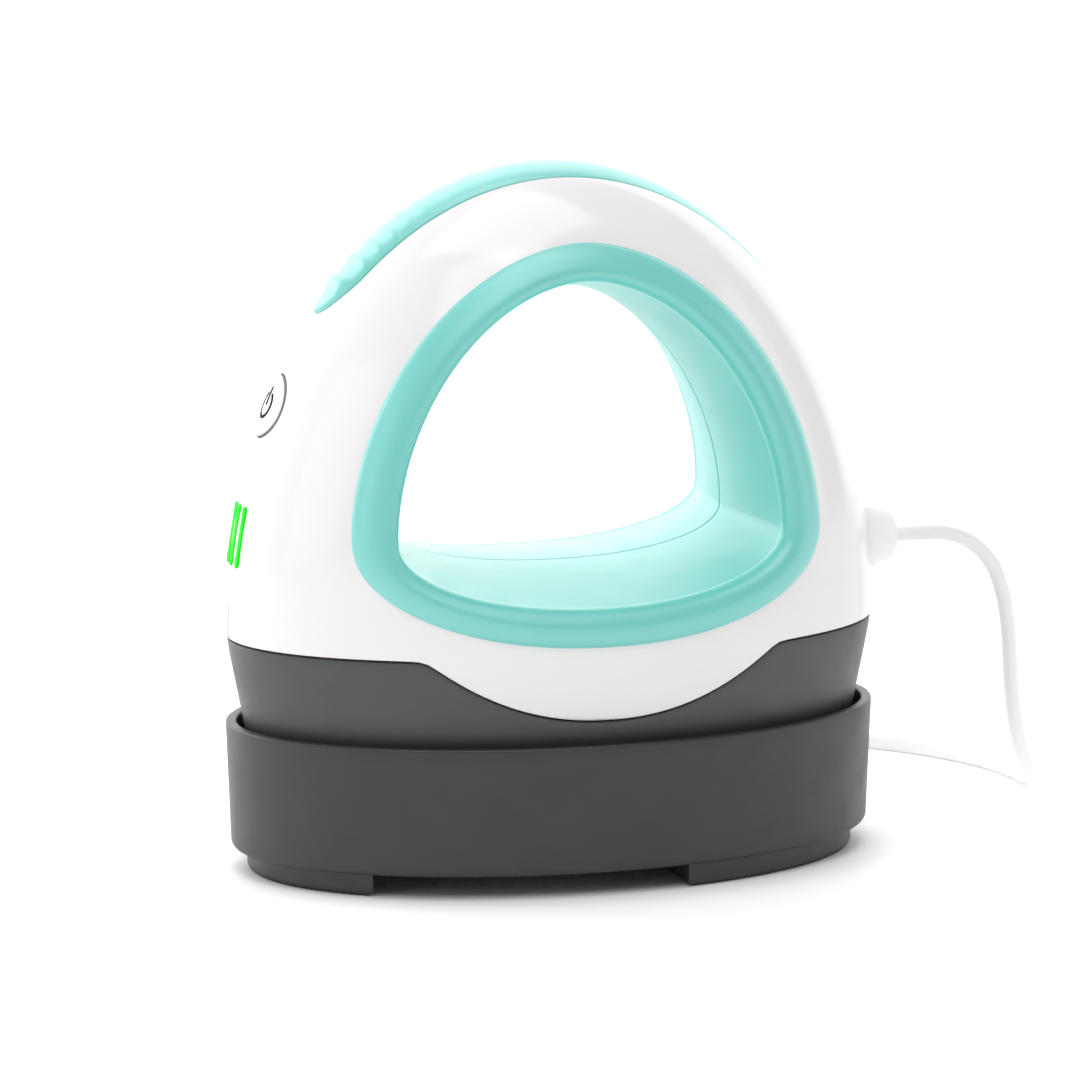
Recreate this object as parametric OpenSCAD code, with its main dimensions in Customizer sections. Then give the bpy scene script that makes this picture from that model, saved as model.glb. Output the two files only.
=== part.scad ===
// Mini handheld heat press: a domed white body with a finger opening, a teal grip
// liner and top cap, a dark heat shroud over a coated plate, and a rest tray.
// Millimetres. +Z up, the nose points to -X, the cord leaves at +X, z = 0 is the table.

/* [Body] */
// Length of the domed body at the seam
body_l = 124; // [110:1:140]
// Width of the domed body at the seam
body_w = 72.4; // [66:0.2:84]
// Height of the seam between white body and dark shroud
seam_z = 44.4; // [42:0.2:50]
// Height of the dome above the seam
dome_h = 86; // [80:0.5:96]
// Roundness of the body's cross section, 2 is an ellipse
dome_round = 2.6; // [2:0.1:3.2]
// Wall of the white housing
housing_wall = 2; // [1.4:0.1:2.6]
// Depth of the tongue that dips into the shroud on each side
tongue_drop = 12; // [6:0.5:13]
// Half width of the tongue
tongue_half = 33.5; // [26:0.5:38]

/* [Opening] */
// Height of the widest level of the opening
open_z = 65.5; // [64:0.5:68]
// Half width of the opening at its outer lip
lip_half = 36.2; // [32:0.1:38]
// Lip height above the widest level
lip_up = 45.5; // [40:0.5:47]
// Lip depth below the widest level
lip_down = 12.3; // [10:0.1:13.5]
// How far the grip crowns into the opening at the middle
crown = 3.4; // [1:0.1:5]
// Width of the teal bezel bead
bezel_w = 8.2; // [6.5:0.1:8.8]
// How far the bezel bead stands proud
bezel_h = 1.5; // [0.8:0.1:2.2]
// Wall of the grip liner
liner_wall = 2; // [1.4:0.1:2.4]

/* [Cap] */
// Half width of the top cap at its middle
cap_half = 8.8; // [6:0.1:12]
// How far the top cap stands proud of the housing
cap_t = 0.9; // [0.6:0.1:1.6]
// Front end of the cap, degrees about the dome's centre
cap_front = 127; // [115:1:135]
// Rear end of the cap, degrees about the dome's centre
cap_rear = 52; // [45:1:65]

/* [Shroud and plate] */
// Wall of the heat shroud
shroud_wall = 2.2; // [1.6:0.1:2.8]
// Inward slope of the shroud inside the tray, mm per mm of height
shroud_taper = 0.2; // [0.1:0.01:0.24]
// Height of the shroud's lower edge
shroud_z = 17.3; // [17.1:0.1:20]
// Length of the heat plate
plate_l = 104; // [96:1:106]
// Width of the heat plate
plate_w = 53.6; // [48:0.2:54]
// Thickness of the heat plate
plate_t = 8; // [6:0.5:10]
// Diameter of the heating element's tube
element_d = 5; // [4:0.2:6]
// Distance between the element's two legs
element_gap = 24; // [20:0.5:24]
// Height of the chassis plate above the heat plate
chassis_rise = 11; // [9:0.5:12]
// Thickness of the chassis plate
chassis_t = 2.4; // [1.8:0.1:3]
// Lengthwise distance between plate screws
screw_l = 64; // [62:1:68]
// Crosswise distance between plate screws
screw_w = 34; // [33.5:0.5:35]

/* [Tray] */
// Length of the tray at its rim
tray_l = 124; // [122:1:140]
// Width of the tray at its rim
tray_w = 73.6; // [73:0.2:88]
// Height of the tray rim above the table
tray_z = 28.2; // [24:0.2:31]
// Wall of the tray
tray_wall = 2; // [1.4:0.1:2.2]
// Thickness of the tray floor
tray_floor = 2.2; // [1.6:0.1:3]
// How much narrower each side of the tray is at its foot
tray_draft = 0.8; // [0.4:0.1:1.1]
// Height of the two feet
foot_h = 3.6; // [2.5:0.1:5]
// Thickness of the pads under the feet
foot_pad_t = 0.6; // [0.4:0.1:1]
// Inset of the feet from the tray wall
foot_inset = 3; // [1.5:0.1:5]
// Where the front foot ends, measured back from the middle
front_foot_x = 41; // [30:1:46]
// Where the rear foot starts, measured from the middle
rear_foot_x = 16.5; // [12:0.5:30]
// Thickness of the rest pad in the tray
rest_pad_t = 2.5; // [1.5:0.1:3]

/* [Controls] */
// Diameter of the power button
button_d = 12.3; // [9:0.1:14]
// Height of the power button's centre
button_z = 87.4; // [84:0.2:92]
// Travel of the power button
button_travel = 0.6; // [0.3:0.1:0.8]
// Width of one light bar
bar_w = 1.8; // [1:0.1:2.4]
// Length of one light bar
bar_l = 11.4; // [8:0.2:13]
// Distance between light bars
bar_pitch = 3.2; // [2.8:0.1:4]
// Height of the middle of the light bars
bar_z = 63.7; // [62:0.1:66]
// Length of the control board
board_l = 40; // [38:0.5:44]
// Width of the control board
board_w = 16; // [14:0.5:18]
// Thickness of the control board
board_t = 1.6; // [1:0.1:2]

/* [Cord] */
// Diameter of the mains cord
cord_d = 3; // [2.4:0.1:3.1]
// Height of the cord's exit
exit_z = 57.5; // [56:0.5:60]
// Largest diameter of the strain relief
relief_d = 13.4; // [10:0.1:14]
// Small end diameter of the strain relief
relief_end_d = 9; // [7:0.1:10]
// How far the strain relief stands out of the body
relief_out = 7; // [5:0.5:12]
// Turns in each layer of the coil
coil_turns = 3; // [2:1:4]
// Mean diameter of the coil's turns
coil_mid_d = 36; // [33:1:38]
// Distance between neighbouring turns
coil_pitch = 3.55; // [3.52:0.01:4]

/* [Fits] */
// Gap between pieces that move against each other
run_gap = 0.3; // [0.2:0.05:0.5]
// Gap between pieces that are assembled
fit_gap = 0.15; // [0.05:0.05:0.25]
// Radial gap between a screw and its hole
screw_gap = 0.05; // [0.02:0.01:0.1]
// Gap between shroud and tray wall at the tray's mouth, along the length
mouth_gap_l = 1.24; // [0.6:0.02:2]
// Gap between shroud and tray wall at the tray's mouth, across the width
mouth_gap_w = 1.84; // [0.6:0.02:2.4]
// Gap between the button's stem and the switch when released, beyond its travel
switch_gap = 0.2; // [0.1:0.05:0.4]
// Gap between the board's bracket and the grip liner
bracket_gap = 1; // [0.5:0.1:1.4]

/* [Hidden] */
$fn = 48;

// Colours
teal = "#8CDDD3";
white = "#F3F1F1";
dark = "#4A4A4A";
metal = "#B9BBBD";

// Facet counts
arc_steps = 44;
base_steps = 28;
ring_steps = arc_steps + base_steps;
plan_steps = 72;

half_l = body_l / 2;
half_w = body_w / 2;

// ---- the body's surface: every level is an ellipse in plan ----
function level(z, off) = max(0, min(1, (z - seam_z) / (dome_h + off)));
// Below the seam it narrows to the tray's mouth, and on by the shroud's own slope
mouth_l = tray_l / 2 - tray_wall - mouth_gap_l;
mouth_w = tray_w / 2 - tray_wall - mouth_gap_w;
function narrow(z, half, mouth) =
    (half - mouth) * max(0, seam_z - max(z, tray_z)) / (seam_z - tray_z)
    + shroud_taper * max(0, tray_z - z);
function half_length(z, off) =
    (half_l + off) * sqrt(max(0, 1 - pow(level(z, off), 2))) - narrow(z, half_l, mouth_l);
function half_width(z, off) =
    (half_w + off) * sqrt(max(0, 1 - pow(level(z, off), dome_round))) - narrow(z, half_w, mouth_w);
function side_y(x, z, off) =
    let (a = half_length(z, off), q = a > 0 ? 1 - pow(x / a, 2) : 0)
    q > 0 ? half_width(z, off) * sqrt(q) : 0;

// The seam drops as a rounded tongue on both sides, with soft shoulders
tongue_mid = 1;
shoulder = 0.07;
function seam_at(x) =
    let (v = 1 - pow(abs(x - tongue_mid) / tongue_half, 2.2))
    seam_z - tongue_drop * (v + sqrt(v * v + shoulder * shoulder)) / 2;

// Distance from the dome's centre to its surface in direction al, at a given y
function is_out(r, al, y, off) =
    let (x = r * cos(al), z = seam_z + r * sin(al))
    z >= seam_z + dome_h + off || side_y(x, z, off) <= abs(y);
function reach(al, y, off, lo = 0, hi = dome_h + half_l, n = 22) =
    n == 0 ? (lo + hi) / 2 :
    let (mid = (lo + hi) / 2)
    is_out(mid, al, y, off) ? reach(al, y, off, lo, mid, n - 1) : reach(al, y, off, mid, hi, n - 1);

// ---- the opening: two half superellipses that meet at the widest level ----
round_up = 1.85;
round_down = 2.15;
function spow(v, e) = sign(v) * pow(abs(v), e);
function outline(t, w, up, down) =
    let (e = 2 / (sin(t) >= 0 ? round_up : round_down), h = sin(t) >= 0 ? up : down)
    [w * spow(cos(t), e), open_z + h * spow(sin(t), e)];
function lip(t, out) = outline(t, lip_half + out, lip_up + out * 0.85, lip_down + out * 0.85);

function mix(a, b, f) = a + (b - a) * f;
function at_side(p, off) = [p[0], -side_y(p[0], p[1], off), p[1]];

// ---- meshes closed by construction ----
function ring_faces(n, m) = [for (i = [0 : n - 1]) for (k = [0 : m - 1])
    let (i2 = (i + 1) % n, k2 = (k + 1) % m,
        a = i * m + k, b = i2 * m + k, c = i2 * m + k2, d = i * m + k2)
    each [[a, c, b], [a, d, c]]];
// A closed ring of equal sections
module ring_solid(sections) {
    polyhedron(points = [for (s = sections) each s],
        faces = ring_faces(len(sections), len(sections[0])));
}
// A stack of closed loops with flat ends
module stack_solid(loops) {
    m = len(loops[0]);
    n = len(loops);
    polyhedron(points = [for (s = loops) each s],
        faces = concat(
            [for (i = [0 : n - 2]) for (k = [0 : m - 1])
                let (k2 = (k + 1) % m, a = i * m + k, b = a + m, c = (i + 1) * m + k2, d = i * m + k2)
                each [[a, c, b], [a, d, c]]],
            [[for (k = [m - 1 : -1 : 0]) k]],
            [[for (k = [0 : m - 1]) (n - 1) * m + k]]));
}
function oval(a, b, z) = [for (k = [0 : plan_steps - 1])
    let (t = -360 * k / plan_steps) [a * cos(t), b * sin(t), z]];
module oval_plate(a, b, z, t) {
    translate([0, 0, z])
        linear_extrude(t)
            polygon([for (p = oval(a, b, 0)) [p[0], -p[1]]]);
}

// ---- levels ----
tray_foot_z = foot_h + foot_pad_t;
tray_in_z = tray_foot_z + tray_floor;
rest_z = tray_in_z + rest_pad_t;
plate_gap = 0.05;
plate_z = rest_z + plate_gap;
plate_top = plate_z + plate_t;
chassis_z = plate_top + chassis_rise;
screw_pos = [for (sx = [-1, 1]) for (sy = [-1, 1]) [sx * screw_l / 2, sy * screw_w / 2]];

// ---- tray ----
tray_edge_r = 1.6;
rim_r = 0.5;
module base_tray() {
    a = tray_l / 2;
    b = tray_w / 2;
    d = tray_draft;
    w = tray_wall;
    color(dark) union() {
        stack_solid(concat(
            [for (q = [0 : 30 : 90]) let (s = tray_edge_r * (1 - sin(q)) + d)
                oval(a - s, b - s, tray_foot_z + tray_edge_r * (1 - cos(q)))],
            [oval(a, b, tray_z - rim_r), oval(a - rim_r, b - rim_r, tray_z),
            oval(a - w + rim_r / 2, b - w + rim_r / 2, tray_z), oval(a - w, b - w, tray_z - rim_r),
            oval(a - w - d, b - w - d, tray_in_z)]));
        foot_blocks(foot_pad_t, foot_h + 0.2);
    }
}
// Crescents at the nose and tail ends, as wide as the tray's foot
module foot_blocks(z, h) {
    a = tray_l / 2 - tray_draft - foot_inset;
    b = tray_w / 2 - tray_draft - 1;
    w = foot_band;
    difference() {
        oval_plate(a, b, z, h);
        oval_plate(a - w, b - w, z - 1, h + 2);
        translate([-front_foot_x, -tray_w, z - 1])
            cube([front_foot_x + rear_foot_x, 2 * tray_w, h + 2]);
    }
}
foot_band = 12;
module foot_pads() {
    color("#2E2E2E") difference() {
        foot_blocks(0, foot_pad_t);
        translate([-tray_l, -tray_w, foot_pad_t])
            cube([2 * tray_l, 2 * tray_w, 1]);
    }
}
rest_pad_inset = 4;
module rest_pad() {
    inset = tray_wall + tray_draft + rest_pad_inset;
    color("#5E6062")
        oval_plate(tray_l / 2 - inset, tray_w / 2 - inset, tray_in_z, rest_pad_t);
}

// ---- heat plate stack ----
element_r = element_d / 2;
element_z = plate_top;
leg_x = 26;
module element_shape(gap) {
    r = element_r + gap;
    translate([-leg_x, 0, element_z])
        rotate([0, 0, 90])
            rotate_extrude(angle = 180)
                translate([element_gap / 2, 0])
                    circle(r);
    for (s = [-1, 1])
        translate([-leg_x, s * element_gap / 2, element_z])
            rotate([0, 90, 0])
                cylinder(r = r, h = 2 * leg_x);
}
pin_d = 2;
module heating_element() {
    color(metal) {
        element_shape(0);
        for (s = [-1, 1])
            translate([leg_x - 1, s * element_gap / 2, element_z])
                rotate([0, 90, 0])
                    cylinder(d = pin_d, h = 7, $fn = 24);
    }
}
tap_depth = 5;
screw_d = 3;
module heat_plate() {
    color("#8E9092") difference() {
        union() {
            oval_plate(plate_l / 2 - 0.8, plate_w / 2 - 0.8, plate_z, 1);
            oval_plate(plate_l / 2, plate_w / 2, plate_z + 0.8, plate_t - 0.8);
        }
        element_shape(fit_gap);
        translate([leg_x - 1, 0, plate_top])
            translate([0, -element_gap / 2 - element_r - fit_gap, -element_r - fit_gap])
                cube([10, element_gap + element_d + 2 * fit_gap, element_d]);
        for (p = screw_pos)
            translate([p[0], p[1], plate_top - tap_depth])
                cylinder(d = screw_d + 2 * screw_gap, h = tap_depth + 1, $fn = 32);
    }
}
pad_t = 1;
pad_z = element_z + element_r + fit_gap;
spacer_d = 6;
pad_gap = 4.5;
// The wires pass the pad in a notch behind the spacers
notch_x = screw_l / 2 + spacer_d / 2 + 2 * fit_gap;
notch_l = 7;
module insulation_pad() {
    a = half_length(pad_z, 0) - shroud_wall - pad_gap;
    b = half_width(pad_z, 0) - shroud_wall - pad_gap;
    color("#D8D2C0") difference() {
        oval_plate(a, b, pad_z, pad_t);
        for (p = screw_pos)
            translate([p[0], p[1], pad_z - 1])
                cylinder(d = spacer_d + 2 * fit_gap, h = pad_t + 2, $fn = 32);
        translate([notch_x, -element_gap / 2 - lead_d, pad_z - 1])
            cube([notch_l, element_gap + 2 * lead_d, pad_t + 2]);
    }
}
module plate_spacers() {
    color(metal)
        for (p = screw_pos)
            translate([p[0], p[1], plate_top])
                difference() {
                    cylinder(d = spacer_d, h = chassis_rise, $fn = 32);
                    translate([0, 0, -1])
                        cylinder(d = screw_d + 2 * screw_gap, h = chassis_rise + 2, $fn = 32);
                }
}
lead_hole_d = 9;
lead_hole_x = half_l - 16;
module chassis_plate() {
    top = chassis_z + chassis_t;
    a = min(half_length(chassis_z, 0), half_length(top, 0)) - shroud_wall;
    b = min(half_width(chassis_z, 0), half_width(top, 0)) - shroud_wall;
    color("#B7B4AA") difference() {
        oval_plate(a + press_in, b + press_in, chassis_z, chassis_t);
        for (p = screw_pos)
            translate([p[0], p[1], chassis_z - 1])
                cylinder(d = screw_d + 2 * screw_gap, h = chassis_t + 2, $fn = 32);
        for (s = [-1, 1])
            translate([s * lead_hole_x, 0, chassis_z - 1])
                cylinder(d = lead_hole_d, h = chassis_t + 2, $fn = 32);
    }
}
press_in = 0.1;
screw_head_d = 5.5;
screw_head_t = 2;
module plate_screws() {
    shank = tap_depth - 0.5 + chassis_rise + chassis_t;
    color(metal)
        for (p = screw_pos)
            translate([p[0], p[1], chassis_z + chassis_t])
                difference() {
                    union() {
                        cylinder(d = screw_head_d, h = screw_head_t, $fn = 32);
                        translate([0, 0, -shank])
                            cylinder(d = screw_d, h = shank + 0.5, $fn = 32);
                    }
                    translate([0, 0, screw_head_t - 1])
                        cylinder(d = 3, h = 2, $fn = 6);
                }
}
sensor_gap = 0.05;
module thermistor() {
    color("#3A2A20")
        translate([0, -5, plate_top + 1 + sensor_gap])
            rotate([0, 90, 0])
                cylinder(d = 2, h = 6, $fn = 24);
}
module thermal_fuse() {
    color(metal)
        translate([-6, 4, plate_top + 1.2 + sensor_gap])
            rotate([0, 90, 0]) {
                cylinder(d = 2.4, h = 12, $fn = 24);
                translate([0, 0, -3])
                    cylinder(d = 0.9, h = 18, $fn = 24);
            }
}

// ---- shroud: top edge follows the seam, with a spigot inside the housing ----
seam_gap = 0.4;
spigot_gap = 0.5;
spigot_h = 3;
spigot_t = 1.4;
spigot_root = 4;
shroud_rows = 3;
function shroud_point(t, off, z) =
    [half_length(z, off) * cos(t), half_width(z, off) * sin(t), z];
function shroud_section(t) =
    let (first = seam_at(half_l * cos(t)) - seam_gap,
        top = seam_at(half_length(first, 0) * cos(t)) - seam_gap,
        root = top - spigot_root,
        mouth = min(tray_z, root - 0.5),
        fold = -housing_wall - spigot_gap,
        back = fold - spigot_t)
    concat(
        [shroud_point(t, 0, shroud_z)],
        [for (k = [0 : shroud_rows]) shroud_point(t, 0, mix(mouth, top, k / shroud_rows))],
        [shroud_point(t, fold, top), shroud_point(t, fold, top + spigot_h),
        shroud_point(t, back, top + spigot_h), shroud_point(t, back, top - spigot_root / 2)],
        [for (z = [root, mouth, shroud_z]) shroud_point(t, -shroud_wall, z)]);
module heat_shroud() {
    // As many steps as the housing's lower edge, so that the two edges agree
    steps = 2 * base_steps;
    color(dark)
        ring_solid([for (i = [0 : steps - 1]) shroud_section(360 * i / steps)]);
}

// ---- white housing halves ----
corner_t = -35;
function edge_t(i) = i <= arc_steps
    ? mix(corner_t, 180 - corner_t, i / arc_steps)
    : mix(180 - corner_t, 360 + corner_t, (i - arc_steps) / base_steps);
function edge_point(i, off) =
    i <= arc_steps
    ? let (q = 180 * i / arc_steps) [(half_l + off) * cos(q), seam_z + (dome_h + off) * sin(q)]
    : let (x = -(half_l + off) * cos(180 * (i - arc_steps) / base_steps)) [x, seam_at(x)];
housing_rows = 7;
function housing_row(i, k, off) =
    let (p = mix(lip(edge_t(i), liner_wall + fit_gap), edge_point(i, off), sin(90 * k / housing_rows)))
    at_side(p, off);
function housing_section(i) = concat(
    [for (k = [0 : housing_rows]) housing_row(i, k, 0)],
    [for (k = [housing_rows : -1 : 0]) if (k != 2) housing_row(i, k, -housing_wall)]);

// Screws that hold the halves together sit under the bezel bead
boss_d = 5.8;
boss_out = 6;
shank_d = 2.5;
head_d = 4.6;
head_t = 1.8;
head_y = 6;
shank_l = 15;
boss_pos = [for (t = [50, 130, 240, 300]) lip(t, boss_out)];
module along_y(p, y) {
    translate([p[0], y, p[1]])
        rotate([-90, 0, 0])
            children();
}
module housing_shell() {
    ring_solid([for (i = [ring_steps - 1 : -1 : 0]) housing_section(i)]);
    for (p = boss_pos)
        along_y(p, -side_y(p[0], p[1], 0) + housing_wall / 2)
            cylinder(d = boss_d, h = side_y(p[0], p[1], 0) - housing_wall / 2, $fn = 32);
}
module housing_cuts() {
    button_place()
        translate([0, 0, -12])
            cylinder(d = button_d + 2 * run_gap, h = 20);
    bar_shapes(fit_gap, 2 * bar_deep, 2 * bar_proud + 4);
    translate([half_l - 20, 0, exit_z])
        rotate([0, 90, 0])
            cylinder(d = relief_d + 2 * fit_gap, h = 30);
}
module housing_left() {
    color(white) difference() {
        housing_shell();
        housing_cuts();
        for (p = boss_pos)
            along_y(p, head_y - shank_l - 1)
                cylinder(d = shank_d + 2 * screw_gap, h = shank_l, $fn = 32);
    }
}
module housing_right() {
    color(white) difference() {
        mirror([0, 1, 0])
            housing_shell();
        housing_cuts();
        for (p = boss_pos) {
            along_y(p, -1)
                cylinder(d = shank_d + 2 * screw_gap, h = head_y + 2, $fn = 32);
            along_y(p, head_y)
                cylinder(d = head_d + 2 * fit_gap, h = half_w, $fn = 32);
        }
    }
}
module housing_screws() {
    color(metal)
        for (p = boss_pos)
            difference() {
                union() {
                    along_y(p, head_y - shank_l)
                        cylinder(d = shank_d, h = shank_l + 0.5, $fn = 32);
                    along_y(p, head_y)
                        cylinder(d = head_d, h = head_t, $fn = 32);
                }
                along_y(p, head_y + head_t - 1)
                    cylinder(d = 2.2, h = 2, $fn = 6);
            }
}

// ---- grip liner halves: bezel bead outside, crowned wall inside ----
bead_steps = [0, 0.12, 0.3, 0.5, 0.7, 0.88];
wall_steps = [0, 0.2, 0.5, 0.75, 1];
bead_seat = 0.05;
// How far the straight skirt behind the bead runs into the housing
liner_reach = 5;
function bead_point(t, g) =
    at_side(lip(t, bezel_w * (1 - g)), bead_seat + bezel_h * pow(sin(180 * mix(0.06, 1, g)), 0.7));
function wall_point(t, h, back) =
    let (p = lip(t, back - crown * sin(90 * h)), e = lip(t, 0))
    [p[0], -(side_y(e[0], e[1], 0) - 0.4) * (1 - h), p[1]];
function liner_section(t) = concat(
    [at_side(lip(t, bezel_w), bead_seat)],
    [for (g = bead_steps) bead_point(t, g)],
    [for (h = wall_steps) wall_point(t, h, 0)],
    [for (h = [1, 0.6]) wall_point(t, h, liner_wall)],
    [at_side(lip(t, liner_wall), bead_seat) + [0, liner_reach, 0]],
    [for (w = [liner_wall, (liner_wall + bezel_w) / 2]) at_side(lip(t, w), bead_seat)]);
module liner_half() {
    ring_solid([for (i = [0 : ring_steps - 1]) liner_section(360 * i / ring_steps)]);
}
module liner_left() {
    color(teal)
        liner_half();
}
module liner_right() {
    color(teal)
        mirror([0, 1, 0])
            liner_half();
}

// ---- top cap: a strip over the joint of the halves ----
cap_steps = 44;
cap_sink = 0.1;
cap_tip = 5;
cap_taper = 0.8;
function cap_width(al) =
    let (run = (cap_front - cap_rear), f = (cap_front - al) / run,
        grow = mix(cap_taper, 1, sin(90 * min(1, f * 1.6))),
        tip = min(1, (cap_front - al) / cap_tip, (al - cap_rear) / cap_tip))
    cap_half * grow * sqrt(max(0.02, 1 - pow(1 - tip, 2)));
function cap_point(al, s, off) =
    let (y = s * cap_width(al), r = reach(al, y, off))
    [r * cos(al), y, seam_z + r * sin(al)];
function cap_loop(al) = concat(
    [for (s = [1, 0.6, 0, -0.6, -1]) cap_point(al, s, -cap_sink)],
    [for (s = [-1, -0.9, -0.5, 0, 0.5, 0.9, 1])
        cap_point(al, s, abs(s) == 1 ? cap_t * 0.5 : cap_t)]);
module top_cap() {
    color(teal)
        stack_solid([for (j = [0 : cap_steps]) cap_loop(mix(cap_front, cap_rear, j / cap_steps))]);
}

// ---- controls ----
// Slope of the nose at height z, from the ellipse of the side view
function nose_tilt(z) = let (f = (z - seam_z) / dome_h)
    atan(half_l / dome_h * f / sqrt(1 - f * f));
// A frame on the nose: local +Z points out of the body, local +X up along it
module nose_place(x, z, tilt) {
    translate([x, 0, z])
        rotate([0, tilt - 90, 0])
            children();
}
// Place of a world point on the middle plane in such a frame, as [along, out]
function nose_local(p, x, z, tilt) =
    let (dx = p[0] - x, dz = p[1] - z)
    [dx * sin(tilt) + dz * cos(tilt), dz * sin(tilt) - dx * cos(tilt)];

button_x = -half_length(button_z, 0);
button_tilt = nose_tilt(button_z);
module button_place() {
    nose_place(button_x, button_z, button_tilt)
        children();
}
button_proud = 0.5;
button_edge = 0.3;
button_crown = 0.15;
button_skirt = 3.2;
stem_d = 4;
stem_l = 1.2;
module power_button() {
    r = button_d / 2;
    color(white)
        button_place()
            rotate_extrude()
                polygon([[0, -button_skirt - stem_l], [stem_d / 2, -button_skirt - stem_l],
                    [stem_d / 2, -button_skirt],
                    [r, -button_skirt], [r, button_proud - button_edge],
                    [r - button_edge, button_proud], [0, button_proud + button_crown]]);
}
bar_tilt = nose_tilt(bar_z);
bar_proud = 0.12;
bar_deep = 4.5;
function bar_x(k) = -half_length(bar_z, 0) * sqrt(1 - pow(k * bar_pitch / half_w, 2));
module bar_shapes(gap, deep, out) {
    w = bar_w + 2 * gap;
    for (k = [-1, 0, 1])
        translate([0, k * bar_pitch, 0])
            nose_place(bar_x(k), bar_z, bar_tilt)
                translate([0, 0, -deep])
                    linear_extrude(deep + out) {
                        square([bar_l - bar_w, w], center = true);
                        for (s = [-1, 1])
                            translate([s * (bar_l - bar_w) / 2, 0])
                                circle(d = w, $fn = 24);
                    }
}
module light_bars() {
    color("#00F010")
        bar_shapes(0, bar_deep, bar_proud);
}

// The board stands behind the nose, square to the mean of the two slopes
board_tilt = (button_tilt + bar_tilt) / 2;
board_back = 9.5;
board_mid_z = (button_z + bar_z) / 2 - 1;
board_x = -half_length(board_mid_z, 0) + board_back;
module board_place() {
    nose_place(board_x, board_mid_z, board_tilt)
        children();
}
function on_board(p) = nose_local(p, board_x, board_mid_z, board_tilt);
switch_l = 6;
switch_h = 2.2;
plunger_d = 3;
// The plunger meets the button's stem at the end of its travel
stem_end = button_skirt + stem_l;
stem_at = on_board([button_x + stem_end * cos(button_tilt), button_z - stem_end * sin(button_tilt)]);
stem_lean = stem_d / 2 * sin(button_tilt - board_tilt);
plunger_top = stem_at[1] - stem_lean - button_travel - switch_gap;
// The lights sit under the bars
led_l = 3;
led_w = 1.6;
led_h = 0.9;
led_at = on_board([bar_x(0), bar_z]);
board_screw_d = 2;
board_head_d = 3.6;
board_head_t = 1.2;
head_gap = 0.3;
post_at = [for (s = [-1, 1]) s > 0
    ? stem_at[0] + (switch_l + board_head_d) / 2 + head_gap
    : -board_l / 2 + board_head_d / 2 + head_gap];
post_d = 5;
bracket_t = 1.6;
bracket_w = 6;
spine_w = 8;
// The bracket stands clear of the grip liner
post_l = -board_x - board_t - bracket_t - lip_half - liner_wall - bracket_gap;
bracket_z = -board_t - post_l - bracket_t;
// The bracket's arm reaches the housing's inner walls
bracket_half = side_y(board_x - bracket_z - bracket_t, board_mid_z + bracket_w / 2, -housing_wall)
    - 2 * fit_gap;
module control_board() {
    color("#2E7D4F")
        board_place()
            difference() {
                translate([-board_l / 2, -board_w / 2, -board_t])
                    cube([board_l, board_w, board_t]);
                for (x = post_at)
                    translate([x, 0, -board_t - 1])
                        cylinder(d = board_screw_d + 2 * screw_gap, h = board_t + 2, $fn = 24);
            }
}
module power_switch() {
    color("#222222")
        board_place()
            translate([stem_at[0], 0, 0]) {
                translate([-switch_l / 2, -switch_l / 2, 0])
                    cube([switch_l, switch_l, switch_h]);
                cylinder(d = plunger_d, h = plunger_top, $fn = 24);
            }
}
module indicator_leds() {
    color("#E8FFE8")
        board_place()
            for (k = [-1, 0, 1])
                translate([led_at[0] - led_l / 2, k * bar_pitch - led_w / 2, 0])
                    cube([led_l, led_w, led_h]);
}
module board_screws() {
    shank = board_t + post_l + bracket_t / 2;
    color(metal)
        board_place()
            for (x = post_at)
                translate([x, 0, 0]) {
                    cylinder(d = board_head_d, h = board_head_t, $fn = 24);
                    translate([0, 0, -shank])
                        cylinder(d = board_screw_d, h = shank + board_head_t / 2, $fn = 24);
                }
}
module board_posts() {
    color(white)
        board_place()
            difference() {
                union() {
                    for (x = post_at)
                        translate([x, 0, -board_t - post_l])
                            cylinder(d = post_d, h = post_l, $fn = 32);
                    translate([-board_l / 2, -spine_w / 2, bracket_z])
                        cube([board_l, spine_w, bracket_t]);
                    translate([-bracket_w / 2, -bracket_half, bracket_z])
                        cube([bracket_w, 2 * bracket_half, bracket_t]);
                }
                for (x = post_at)
                    translate([x, 0, bracket_z + bracket_t / 2 - fit_gap])
                        cylinder(d = board_screw_d + 2 * screw_gap, h = post_l + bracket_t, $fn = 24);
            }
}

// ---- swept tubes ----
function unit(v) = v / norm(v);
function heading(pts, i) =
    unit(pts[min(i + 1, len(pts) - 1)] - pts[max(i - 1, 0)]);
// The side vector stays level, so the tube never twists
function tube_ring(pts, i, r, sides) =
    let (t = heading(pts, i), s = unit([-t[1], t[0], 0]), u = cross(t, s))
    [for (k = [0 : sides - 1]) let (a = -360 * (k + 0.5) / sides) pts[i] + r * (cos(a) * s + sin(a) * u)];
module tube(pts, r, sides) {
    stack_solid([for (i = [0 : len(pts) - 1]) tube_ring(pts, i, r, sides)]);
}
function spline_at(a, b, c, d, f) =
    0.5 * (2 * b + (c - a) * f + (2 * a - 5 * b + 4 * c - d) * f * f
        + (3 * b - a - 3 * c + d) * pow(f, 3));
function spline(p, n) = let (last = len(p) - 1) concat(
    [for (i = [0 : last - 1]) for (k = [0 : n - 1])
        spline_at(p[max(0, i - 1)], p[i], p[i + 1], p[min(last, i + 2)], k / n)],
    [p[last]]);
function run_length(p) =
    let (d = [for (i = [1 : len(p) - 1]) norm(p[i] - p[i - 1])]) d * [for (v = d) 1];

cord_r = cord_d / 2;
relief_tip = half_l + relief_out;

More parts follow.
